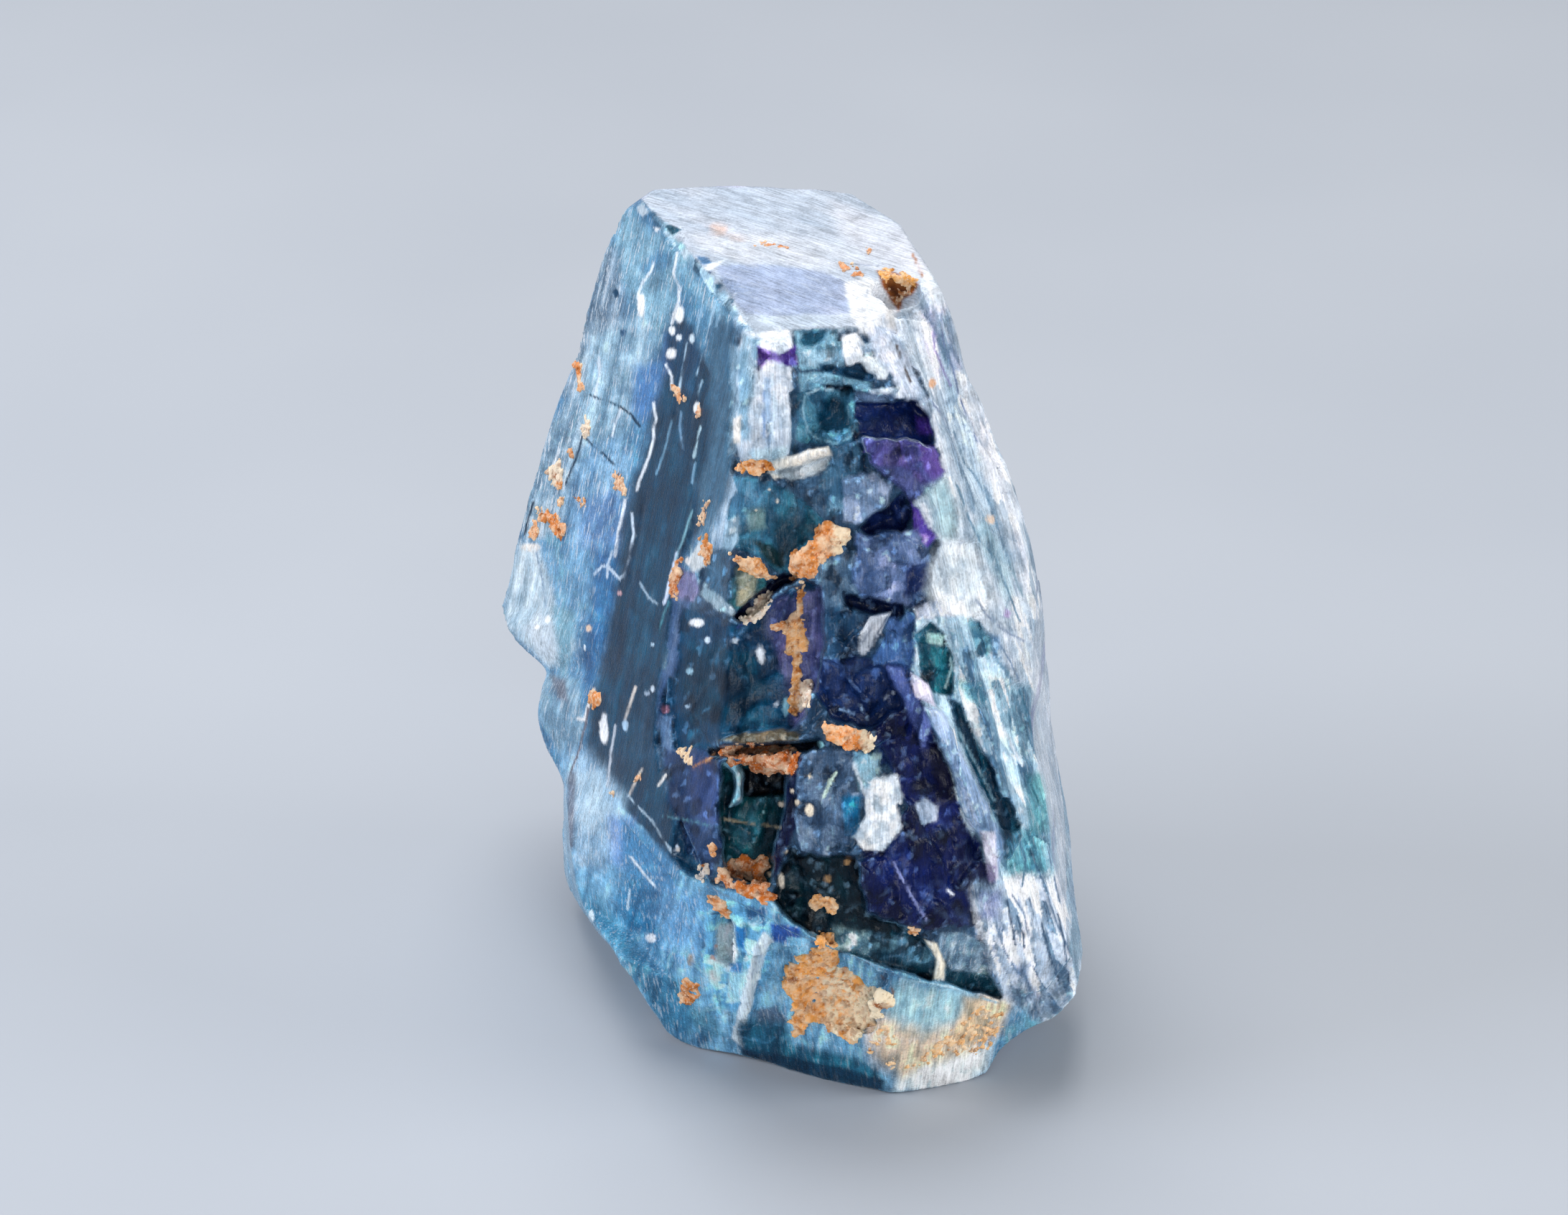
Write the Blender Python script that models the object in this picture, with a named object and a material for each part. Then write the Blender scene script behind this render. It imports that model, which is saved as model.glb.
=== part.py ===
"""A cubic fluorite crystal with its front broken into ledges.

The crystal is one solid, made the way fluorite itself breaks. A block is cleaved
by flat faces into a tapering prism. Its front is then broken into steps and pits
by blocks that are cut out or left standing. Iron-stained clay (limonite) sits in
pockets, each piece on its own with a thin gap around it.

Values are in millimetres, +X is to the right, +Y to the back and +Z up.
"""

import math
import random

import bmesh
import bpy
from mathutils import Matrix, Vector

MM = 0.001

HEIGHT = 40.0
ROUGH_BLOCK = 90.0
CLAY_GAP = 0.32
RUBBLE_COUNT = 64
SEED = 11

# Every face has an azimuth from the front (right is positive), a tilt of its
# normal above the horizon, both in degrees, and a point that it passes through.
FACES = {
    "top": (0, 90, (0, 0, HEIGHT)),
    "top_step": (-8, 82, (0, 1.6, HEIGHT)),
    "left": (-67.5, 12, (-7.1, 9.7, HEIGHT)),
    "back_left": (-125, 16, (-8.8, 12.1, 37.6)),
    "left_shoulder": (-108, 50, (-7.8, 10.9, 39.0)),
    "back": (175, 9, (-1.0, 10.6, HEIGHT)),
    "back_right": (124, 14, (3.3, 10.3, HEIGHT)),
    "right_back": (104, 16, (7.6, -0.9, HEIGHT)),
    "right": (80, 17.5, (7.7, -0.4, 39.6)),
    "right_low": (84, 8, (12.3, 0, 24.7)),
    "front_right": (42, 19, (3.3, -4.1, HEIGHT)),
    "front": (5, 19, (-1.4, -4.2, HEIGHT)),
    "left_low": (-76, -8, (-15.1, 14.3, 13.6)),
    "foot_left": (-72, -34, (-10.8, -0.5, 4.4)),
    "foot_front": (-22, -17, (1.6, -8.6, 0)),
    "foot_right": (19, -14, (5.5, -10.0, 0)),
    "foot_side": (72, -35, (15.3, -4.0, 4.9)),
    "foot_back": (176, -22, (0, 13.0, 6.0)),
    "foot_back_left": (-128, -34, (-12.4, 12.5, 8.0)),
    "foot_back_right": (125, -28, (9.0, 9.0, 7.0)),
    "foot": (0, -90, (0, 0, 0)),
}
FRONT_FACES = ("left", "front", "front_right", "foot_left", "foot_front", "foot_right")

# Blocks broken off the sides: a point of the new surface, then width, height,
# azimuth, tilt and roll in degrees.
SIDE_BREAKS = {
    "left_notch": ((-12.5, 8.0, 6.0), 22.0, 15.4, -91, -2, 3),
    "left_notch_low": ((-11.5, 4.0, 2.2), 26.0, 15.4, -87, -5, 4),
    "left_ledge": ((-15.0, 13.6, 20.4), 2.6, 3.0, -84, 14, -10),
    "left_nick": ((-13.2, 12.9, 26.8), 3.0, 2.2, -96, 14, -8),
    "right_nick": ((12.7, -1.0, 22.2), 3.4, 4.6, 78, 10, 3),
    "top_nick": ((-8.3, 10.9, 38.5), 2.4, 2.2, -70, 40, 20),
    "rim_chip_back": ((-5.2, 5.6, 39.6), 1.8, 1.2, -68, 44, 0),
    "rim_chip_front": ((-2.6, 0.2, 39.4), 1.4, 1.0, -60, 42, 0),
    "top_edge_chip": ((1.7, -3.9, 39.0), 2.2, 1.2, 6, 48, 0),
    "corner_notch": ((5.5, -0.4, 39.2), 2.0, 2.6, 30, 52, 8),
    "foot_flank": ((-9.1, -1.5, 8.2), 17.0, 7.6, -59, 1, 0),
    "back_ledge": ((2.5, 13.7, 13.0), 12.0, 9.0, 177, 5, 12),
    "back_step": ((-3.4, 12.1, 26.0), 7.0, 9.0, 172, 8, -9),
    "back_right_step": ((10.2, 9.4, 17.0), 6.0, 11.0, 128, 10, 8),
}

# Blocks broken out of the front. Each has the x and z of its middle on the front,
# a width and a height, then azimuth, tilt and roll in degrees, and its depth.
BREAKS = {
    "ledge_top": (3.2, 39.0, 5.6, 2.2, 18, 8, 2, 1.0),
    "ledge_second": (3.6, 36.4, 4.6, 2.3, 20, 6, 3, 0.9),
    "icy_recess": (-0.5, 36.6, 1.5, 6.4, -4, 12, 3, 0.8),
    "strip_slot": (0.2, 33.9, 3.8, 0.9, 6, 4, 8, 1.3),
    "teal_facet": (-2.3, 30.3, 14.0, 5.4, -29, 12, 2, 2.2),
    "rim_break": (-2.7, 24.3, 14.0, 13.0, -53, 13, -3, 1.2),
    "blue_facet": (-3.0, 21.9, 14.0, 7.6, -45, 14, -3, 2.7),
    "cream_gap": (-0.9, 27.2, 2.8, 0.9, -10, 12, 14, 2.9),
    "purple_step": (3.2, 29.4, 2.6, 5.4, 14, 12, -7, 0.8),
    "white_hollow": (8.0, 30.0, 3.4, 8.4, 48, 14, -12, 0.9),
    "lens_gap": (-1.4, 20.2, 5.4, 1.5, -4, 8, 2, 3.0),
    "dark_cavity": (-1.4, 17.2, 3.6, 4.8, -6, 10, 4, 3.6),
    "side_cavity": (-4.6, 14.6, 3.2, 2.8, -34, 12, 12, 1.4),
    "block_gap": (3.1, 21.5, 3.2, 1.5, 8, 10, 3, 2.2),
    "white_pocket": (4.6, 18.4, 2.8, 3.6, 16, 14, -10, 1.6),
    "teal_trench": (8.9, 19.2, 2.6, 10.5, 40, 12, -19, 1.5),
    "teal_trench_right": (11.0, 16.8, 2.2, 9.0, 46, 13, -15, 1.1),
    "foot_gap": (4.0, 10.6, 11.0, 1.3, -2, -6, 8, 1.9),
    "foot_gap_right": (10.4, 9.4, 4.4, 2.2, 32, 4, 10, 1.5),
    "right_splinters": (13.0, 7.4, 3.0, 4.2, 50, 4, -14, 1.2),
    "foot_scoop": (-1.6, 8.8, 4.2, 4.0, -30, -8, 10, 1.0),
    "foot_scoop_left": (-7.6, 8.4, 3.4, 6.0, -52, -12, 16, 1.0),
    "strip_notch": (9.7, 33.0, 1.8, 5.0, 60, 16, -13, 0.7),
}

# Blocks left standing proud of the front, written in the same way.
STEPS = {
    "icy_column": (-0.3, 36.4, 1.0, 5.2, 8, 16, 2, 0.1),
    "purple_wedge": (5.6, 35.0, 3.2, 1.9, 30, 14, 10, 0.9),
    "purple_block": (5.3, 32.9, 3.0, 2.3, 24, 22, -16, 1.1),
    "grey_block": (4.6, 29.6, 2.8, 4.6, 20, 12, 8, 0.5),
    "grey_corner": (5.9, 29.0, 2.0, 2.2, 26, 18, 40, 0.8),
    "light_rod": (4.3, 26.0, 1.0, 2.6, 14, 14, 24, 0.6),
    "navy_mass": (6.2, 17.4, 4.8, 11.0, 22, 15, -14, -0.2),
    "navy_foot": (6.6, 12.8, 5.6, 3.4, 16, 12, -6, -0.2),
    "long_streak": (8.3, 18.4, 0.9, 11.6, 30, 16, -19, 0.3),
    "purple_column": (1.6, 16.8, 2.4, 8.2, 4, 14, 4, 0.3),
    "light_strut": (-1.6, 18.0, 0.5, 2.8, 0, 10, 4, -1.4),
    "foot_ridge": (-1.9, 7.2, 1.1, 9.0, -30, -14, 9, 0.5),
    "foot_blocks": (-0.2, 10.4, 3.6, 2.2, -20, -10, -8, 0.5),
}

# Pieces of clay on the front: x and z, width, height, thickness, azimuth, tilt,
# roll, and how far the middle of the piece lies behind the front.
CLAY = {
    "limonite_foot_crust": (2.6, 7.2, 5.8, 6.8, 1.5, -6, -15, 12, 0.35),
    "limonite_ledge_lens": (-1.4, 20.4, 4.6, 1.4, 2.6, -4, 8, -4, 2.2),
    "limonite_ledge_block": (3.1, 21.3, 2.2, 1.2, 1.8, 8, 12, 4, 0.9),
    "limonite_vein_upper": (1.6, 29.7, 3.0, 1.3, 1.8, 2, 14, 42, 1.2),
    "limonite_seam": (0.9, 25.2, 0.8, 5.2, 1.8, 0, 16, 2, 1.3),
    "limonite_wedge_lower": (-2.1, 14.0, 2.8, 1.9, 2.0, -14, 4, -14, 1.2),
    "limonite_left_rim": (-4.4, 28.0, 1.2, 4.2, 1.4, -50, 14, 8, 0.7),
}
TOP_CLAY = ((5.4, 0.1, 39.35), (2.0, 1.0, 1.0), 24, 40, 10)
SCRATCH_COUNT = 11


def unit(azimuth, tilt):
    a, t = math.radians(azimuth), math.radians(tilt)
    return Vector((math.cos(t) * math.sin(a), -math.cos(t) * math.cos(a), math.sin(t)))


def turned(azimuth, tilt, roll):
    """Turns a block so that its front side looks along azimuth and tilt."""
    return (
        Matrix.Rotation(math.radians(azimuth), 4, "Z")
        @ Matrix.Rotation(-math.radians(tilt), 4, "X")
        @ Matrix.Rotation(math.radians(roll), 4, "Y")
    )


def on_front(x, z):
    """The point of the cleaved front, before it is broken, at a given x and z."""
    y = -100.0
    for name in FRONT_FACES:
        azimuth, tilt, point = FACES[name]
        n = unit(azimuth, tilt)
        y = max(y, point[1] - ((x - point[0]) * n.x + (z - point[2]) * n.z) / n.y)
    return Vector((x, y, z))


def new_object(name, bm, folder, material=None):
    bmesh.ops.recalc_face_normals(bm, faces=bm.faces)
    mesh = bpy.data.meshes.new(name)
    bm.to_mesh(mesh)
    bm.free()
    obj = bpy.data.objects.new(name, mesh)
    folder.objects.link(obj)
    if material:
        mesh.materials.append(material)
    return obj


def cleave(bm, azimuth, tilt, point):
    """Takes off what lies outside a plane and closes the cut with one face."""
    cut = bmesh.ops.bisect_plane(
        bm,
        geom=bm.verts[:] + bm.edges[:] + bm.faces[:],
        dist=1e-7,
        plane_co=Vector(point) * MM,
        plane_no=unit(azimuth, tilt),
        clear_outer=True,
    )
    rim = [e for e in cut["geom_cut"] if isinstance(e, bmesh.types.BMEdge)]
    if rim:
        bmesh.ops.edgeloop_fill(bm, edges=rim)


def splinter(name, folder, rng, point, width, height, azimuth, tilt, roll, outer, thick=6.0):
    """A block with uneven corners whose front side stands `outer` off a point."""
    bm = bmesh.new()
    bmesh.ops.create_cube(bm, size=1.0)
    for v in bm.verts:
        v.co.x *= width * rng.uniform(0.86, 1.08)
        v.co.y *= thick
        v.co.z *= height * rng.uniform(0.9, 1.06)
    bmesh.ops.triangulate(bm, faces=bm.faces)
    middle = Vector(point) + unit(azimuth, tilt) * (outer - thick / 2)
    place = Matrix.Translation(middle * MM) @ turned(azimuth, tilt, roll) @ Matrix.Scale(MM, 4)
    bmesh.ops.transform(bm, matrix=place, verts=bm.verts)
    return new_object(name, bm, folder)


def lump(name, folder, rng, middle, size, azimuth, tilt, roll, material, swell=0.0):
    """A crumbly piece of clay, or with `swell` the pocket that it sits in."""
    bm = bmesh.new()
    bmesh.ops.create_icosphere(bm, subdivisions=3, radius=0.5)
    waves = [(Vector([rng.uniform(-9, 9) for _ in range(3)]), rng.uniform(0, 6)) for _ in range(7)]
    for v in bm.verts:
        rough = sum(math.sin(w.dot(v.co) + p) for w, p in waves) / 7
        v.co *= 1 + 0.6 * rough
        v.co = Vector((v.co.x * size[0], v.co.y * size[1], v.co.z * size[2]))
    bm.normal_update()
    if swell:
        for v in bm.verts:
            v.co += v.normal * swell
    place = Matrix.Translation(middle * MM) @ turned(azimuth, tilt, roll) @ Matrix.Scale(MM, 4)
    bmesh.ops.transform(bm, matrix=place, verts=bm.verts)
    return new_object(name, bm, folder, material)


def boolean(obj, folder, operation):
    """Cuts out, or fuses on, every block of a collection in one step."""
    mod = obj.modifiers.new(folder.name, "BOOLEAN")
    mod.operation = operation
    mod.solver = "EXACT"
    mod.operand_type = "COLLECTION"
    mod.collection = folder


def slot(name, colour, roughness):
    mat = bpy.data.materials.new(name)
    mat.use_nodes = True
    shader = mat.node_tree.nodes["Principled BSDF"]
    shader.inputs["Base Color"].default_value = (*colour, 1)
    shader.inputs["Roughness"].default_value = roughness
    return mat


def tool_folder(name):
    folder = bpy.data.collections.new(name)
    bpy.data.collections["cutters"].children.link(folder)
    return folder


def break_front(crystal, rng):
    """Breaks the ledges and pits out, then adds the blocks that stay standing."""
    breaks, steps = tool_folder("breaks"), tool_folder("steps")
    # A cutter reaches from its depth out into the open air.
    for name, form in SIDE_BREAKS.items():
        splinter(name, breaks, rng, *form, 8.0, 8.0)
    for name, (x, z, w, h, azimuth, tilt, roll, depth) in BREAKS.items():
        splinter(name, breaks, rng, on_front(x, z), w, h, azimuth, tilt, roll, 8 - depth, 8.0)
    for name, (x, z, w, h, azimuth, tilt, roll, rise) in STEPS.items():
        splinter(name, steps, rng, on_front(x, z), w, h, azimuth, tilt, roll, rise)
    boolean(crystal, breaks, "DIFFERENCE")
    boolean(crystal, steps, "UNION")


def break_rubble(crystal, rng):
    """Small cleavage steps all over the broken front, turned like the crystal."""
    chips, blocks = tool_folder("chips"), tool_folder("blocks")
    for i in range(RUBBLE_COUNT):
        z = rng.uniform(12.5, 37.5)
        x = rng.uniform(0.8, 5.0 + 0.28 * (37.5 - z))
        w, h = rng.uniform(0.7, 2.0), rng.uniform(0.7, 2.6)
        azimuth, tilt = rng.choice((8, 22, 36)) + rng.uniform(-4, 4), rng.uniform(12, 22)
        form = (on_front(x, z), w, h, azimuth, tilt, rng.uniform(-20, 8))
        if i % 5:
            splinter(f"chip_{i:02d}", chips, rng, *form, 8 - rng.uniform(0.4, 1.3), 8.0)
        else:
            splinter(f"block_{i:02d}", blocks, rng, *form, rng.uniform(-1.9, -1.1))
    # Shallow growth lines run down the smooth left face.
    azimuth, tilt, corner = FACES["left"]
    along = Vector((math.sin(math.radians(azimuth + 90)), -math.cos(math.radians(azimuth + 90)), 0))
    for i in range(SCRATCH_COUNT):
        z = rng.uniform(19, 35)
        fall = (HEIGHT - z) * math.tan(math.radians(tilt))
        across = unit(azimuth, 0) * fall + along * rng.uniform(3.0, 14.0)
        point = Vector(corner) + across + Vector((0, 0, z - HEIGHT))
        form = (point, rng.uniform(0.12, 0.3), rng.uniform(1.6, 6.0), azimuth, tilt, -4)
        splinter(f"growth_line_{i:02d}", chips, rng, *form, 3 - rng.uniform(0.08, 0.2), 3.0)
    boolean(crystal, chips, "DIFFERENCE")
    boolean(crystal, blocks, "UNION")


def main():
    for obj in list(bpy.data.objects):
        bpy.data.objects.remove(obj)
    rng = random.Random(SEED)
    stone = bpy.data.collections.new("cubic_fluorite_crystal")
    tools = bpy.data.collections.new("cutters")
    for folder in (stone, tools):
        bpy.context.scene.collection.children.link(folder)
    fluorite = slot("fluorite", (0.16, 0.27, 0.42), 0.25)
    limonite = slot("limonite", (0.72, 0.36, 0.12), 0.95)

    bm = bmesh.new()
    bmesh.ops.create_cube(bm, size=ROUGH_BLOCK * MM)
    for azimuth, tilt, point in FACES.values():
        cleave(bm, azimuth, tilt, point)
    crystal = new_object("fluorite_crystal", bm, stone, fluorite)
    break_front(crystal, rng)
    break_rubble(crystal, rng)

    pockets = tool_folder("pockets")
    pieces = {"limonite_top_pocket": TOP_CLAY}
    for name, (x, z, w, h, thick, azimuth, tilt, roll, behind) in CLAY.items():
        middle = on_front(x, z) - unit(azimuth, tilt) * behind
        pieces[name] = (middle, (w, thick, h), azimuth, tilt, roll)
    for name, (middle, *form) in pieces.items():
        form = (Vector(middle), *form)
        seed = rng.random()
        lump(name, stone, random.Random(seed), *form, limonite)
        lump(name + "_pocket", pockets, random.Random(seed), *form, None, CLAY_GAP)
    boolean(crystal, pockets, "DIFFERENCE")

    # The middle of the resting side of the finished crystal is the origin.
    view = bpy.context.evaluated_depsgraph_get()
    corners = [Vector(c) for c in crystal.evaluated_get(view).bound_box]
    low = Vector([min(c[i] for c in corners) for i in range(3)])
    high = Vector([max(c[i] for c in corners) for i in range(3)])
    shift = -Vector(((low.x + high.x) / 2, (low.y + high.y) / 2, low.z))
    for obj in (*stone.all_objects, *tools.all_objects):
        obj.location = shift
    for tool in tools.all_objects:
        tool.hide_render = True
        tool.display_type = "WIRE"


main()
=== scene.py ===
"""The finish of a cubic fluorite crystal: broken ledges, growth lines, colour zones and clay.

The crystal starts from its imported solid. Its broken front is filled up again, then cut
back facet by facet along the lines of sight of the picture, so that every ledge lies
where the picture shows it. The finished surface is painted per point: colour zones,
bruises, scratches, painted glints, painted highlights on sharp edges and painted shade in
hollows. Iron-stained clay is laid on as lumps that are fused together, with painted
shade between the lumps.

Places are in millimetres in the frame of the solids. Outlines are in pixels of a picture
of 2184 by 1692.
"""

import itertools
import math
from functools import cached_property

import bmesh
import bpy
import numpy as np
from mathutils import Matrix, Vector
from mathutils.bvhtree import BVHTree
from mathutils.kdtree import KDTree


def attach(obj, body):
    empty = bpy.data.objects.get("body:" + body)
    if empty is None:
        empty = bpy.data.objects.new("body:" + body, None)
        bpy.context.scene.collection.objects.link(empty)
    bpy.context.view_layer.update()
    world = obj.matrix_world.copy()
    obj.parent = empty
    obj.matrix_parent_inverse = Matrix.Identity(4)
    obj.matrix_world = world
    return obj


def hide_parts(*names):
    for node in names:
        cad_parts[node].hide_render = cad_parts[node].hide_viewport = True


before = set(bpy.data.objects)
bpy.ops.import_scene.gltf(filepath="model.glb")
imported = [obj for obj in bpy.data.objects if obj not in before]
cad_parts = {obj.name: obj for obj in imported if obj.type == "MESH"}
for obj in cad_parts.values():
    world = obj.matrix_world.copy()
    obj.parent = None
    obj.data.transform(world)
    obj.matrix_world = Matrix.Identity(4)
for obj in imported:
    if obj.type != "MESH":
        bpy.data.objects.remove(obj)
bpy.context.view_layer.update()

MM = 0.001
MATRIX_MM = Matrix.Scale(MM, 4)
CRYSTAL = "fluorite_crystal"

# The picture: its size, the lens, and where the camera stands.
PICTURE_WIDTH, PICTURE_HEIGHT = 2184, 1692
LENS, SENSOR = 100.0, 36.0
ELEVATION = 30.0
DISTANCE = 215.0
TARGET = np.array((0.129, -1.149, 22.3))
FOCAL = LENS / SENSOR * PICTURE_WIDTH
SLOPE = math.radians(ELEVATION)
FORWARD = np.array((0.0, math.cos(SLOPE), -math.sin(SLOPE)))
RIGHT = np.array((1.0, 0.0, 0.0))
UP = np.array((0.0, math.sin(SLOPE), math.cos(SLOPE)))
EYE = TARGET - DISTANCE * FORWARD

PIXELS_PER_MM = FOCAL / DISTANCE

# How finely the crystal is worked, in millimetres, and how many triangles are left of what
# the picture doesn't show and of what it shows. Before it is thinned, the crystal is
# lifted where it is pale, so that the edges of its colours keep their points.
ROUGH_VOXEL = 0.17
FINE_VOXEL = 0.125
FAR_TRIANGLES = 42000
NEAR_TRIANGLES = 154000
PALE_LIFT = 0.16

# The crystal's outline in the picture, then how the crystal is stretched to fit it: from
# which middle, in how many turns, by which share at most, and from and up to which share
# of the way to its rim.
SILHOUETTE = (
    "950,260 923,261 901,268 874,286 854,311 835,355 821,410 806,480 795,508 781,541 764,595 748,655"
    " 729,721 712,797 702,835 697,857 701,874 729,906 764,934 753,961 747,999 756,1032 770,1059 784,1092"
    " 782,1136 781,1190 788,1234 808,1272 846,1321 874,1354 906,1409 939,1447 961,1458 1021,1467 1070,1480"
    " 1136,1502 1201,1516 1256,1523 1310,1518 1363,1505 1378,1491 1387,1469 1409,1450 1441,1428 1463,1425"
    " 1496,1392 1510,1365 1512,1316 1505,1278 1496,1212 1480,1092 1463,1016 1456,906 1441,786 1420,699"
    " 1387,612 1346,513 1330,437 1316,406 1256,311 1185,269 1092,262"
)
OUTLINE_MIDDLE = (1108, 895)
OUTLINE_TURNS = 240
OUTLINE_GIVE = 0.05
OUTLINE_RIM = (0.5, 1.0)


def to_picture(points):
    """Where points fall in the picture, in pixels."""
    away = points - EYE
    depth = away @ FORWARD
    u = PICTURE_WIDTH / 2 + FOCAL * (away @ RIGHT) / depth
    v = PICTURE_HEIGHT / 2 - FOCAL * (away @ UP) / depth
    return u, v


def sight(u, v):
    """The direction of the line of sight through a point of the picture."""
    x = (np.asarray(u) - PICTURE_WIDTH / 2) / FOCAL
    y = (PICTURE_HEIGHT / 2 - np.asarray(v)) / FOCAL
    line = FORWARD + x[..., None] * RIGHT + y[..., None] * UP
    return line / np.linalg.norm(line, axis=-1, keepdims=True)


def on_flat(u, v):
    """Places of the picture on a flat that is measured in millimetres."""
    return np.stack((u, v, np.zeros_like(u)), axis=1) / PIXELS_PER_MM


def outline(text):
    return np.array([[float(n) for n in pair.split(",")] for pair in text.split()])


def colour(text):
    """A colour written as in a paint list, as linear light."""
    parts = np.array([int(text[i : i + 2], 16) / 255 for i in (1, 3, 5)])
    return np.where(parts < 0.04045, parts / 12.92, ((parts + 0.055) / 1.055) ** 2.4)


# How bright each part of a colour looks.
LUMINANCE = np.array((0.2126, 0.7152, 0.0722))


def smooth(x, low, high):
    t = np.clip((x - low) / (high - low), 0, 1)
    return t * t * (3 - 2 * t)


def cell_value(cell, seed):
    """A repeatable number from 0 to 1 for each cell of a grid."""
    c = np.floor(cell).astype(np.int64)
    h = c[..., 0] * 374761393 + c[..., 1] * 668265263 + c[..., 2] * 2246822519 + seed * 3266489917
    h &= 0xFFFFFFFF
    h = ((h ^ (h >> 13)) * 1274126177) & 0xFFFFFFFF
    return (h ^ (h >> 16)) / 4294967296.0


def grain(points, size, seed):
    """Smooth noise from -1 to 1 whose lumps are `size` across."""
    p = points / np.asarray(size)
    low = np.floor(p)
    f = p - low
    f = f * f * (3 - 2 * f)
    total = 0
    for corner in itertools.product((0, 1), repeat=3):
        share = np.prod(np.where(corner, f, 1 - f), axis=-1)
        total = total + share * cell_value(low + corner, seed)
    return 2 * total - 1


def layered(points, size, seed):
    """Three layers of noise, each half as large and half as strong as the last."""
    return sum(grain(points, np.asarray(size) / 2**i, seed + i) / 2**i for i in range(3)) / 1.75


def turn_of(degrees, a, b):
    """A turn by some degrees from one of the three ways towards another."""
    angle = math.radians(degrees)
    turn = np.eye(3)
    turn[a, a] = turn[b, b] = math.cos(angle)
    turn[a, b], turn[b, a] = math.sin(angle), -math.sin(angle)
    return turn


# The cleavage directions of the crystal, turned with its front.
CLEAVE_TURN, CLEAVE_LEAN, CLEAVE_ROLL = 24, 15, -9
AXES = turn_of(CLEAVE_TURN, 0, 1).T @ turn_of(CLEAVE_LEAN, 1, 2).T @ turn_of(CLEAVE_ROLL, 2, 0).T


def to_run(start, end, u, v):
    """How far points lie from a straight run, in pixels."""
    (x0, y0), (x1, y1) = start, end
    dx, dy = x1 - x0, y1 - y0
    t = np.clip(((u - x0) * dx + (v - y0) * dy) / (dx * dx + dy * dy + 1e-9), 0, 1)
    return np.hypot(u - x0 - t * dx, v - y0 - t * dy)


def inside(line, u, v):
    """How far points lie inside an outline, in pixels; outside is negative."""
    nearest = np.full(u.shape, np.inf)
    odd = np.zeros(u.shape, bool)
    for start, end in zip(line, np.roll(line, -1, axis=0), strict=True):
        nearest = np.minimum(nearest, to_run(start, end, u, v))
        (x0, y0), (x1, y1) = start, end
        if y0 != y1:
            odd ^= ((y0 > v) != (y1 > v)) & (u < x0 + (v - y0) * (x1 - x0) / (y1 - y0))
    return np.where(odd, nearest, -nearest)


def along(line, u, v):
    """How far points lie from a line of several runs, in pixels."""
    return np.min([to_run(start, end, u, v) for start, end in itertools.pairwise(line)], axis=0)


def near(line, u, v, margin):
    """Which points lie in the box round an outline, with a margin."""
    low, high = line.min(axis=0) - margin, line.max(axis=0) + margin
    return np.nonzero((u > low[0]) & (u < high[0]) & (v > low[1]) & (v < high[1]))[0]


def patch(line, tint, edge, **how):
    """A patch of the front: outline, colour, width of its soft edge, and how it is worked."""
    return line, tint, {"edge": edge, **how}


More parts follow.
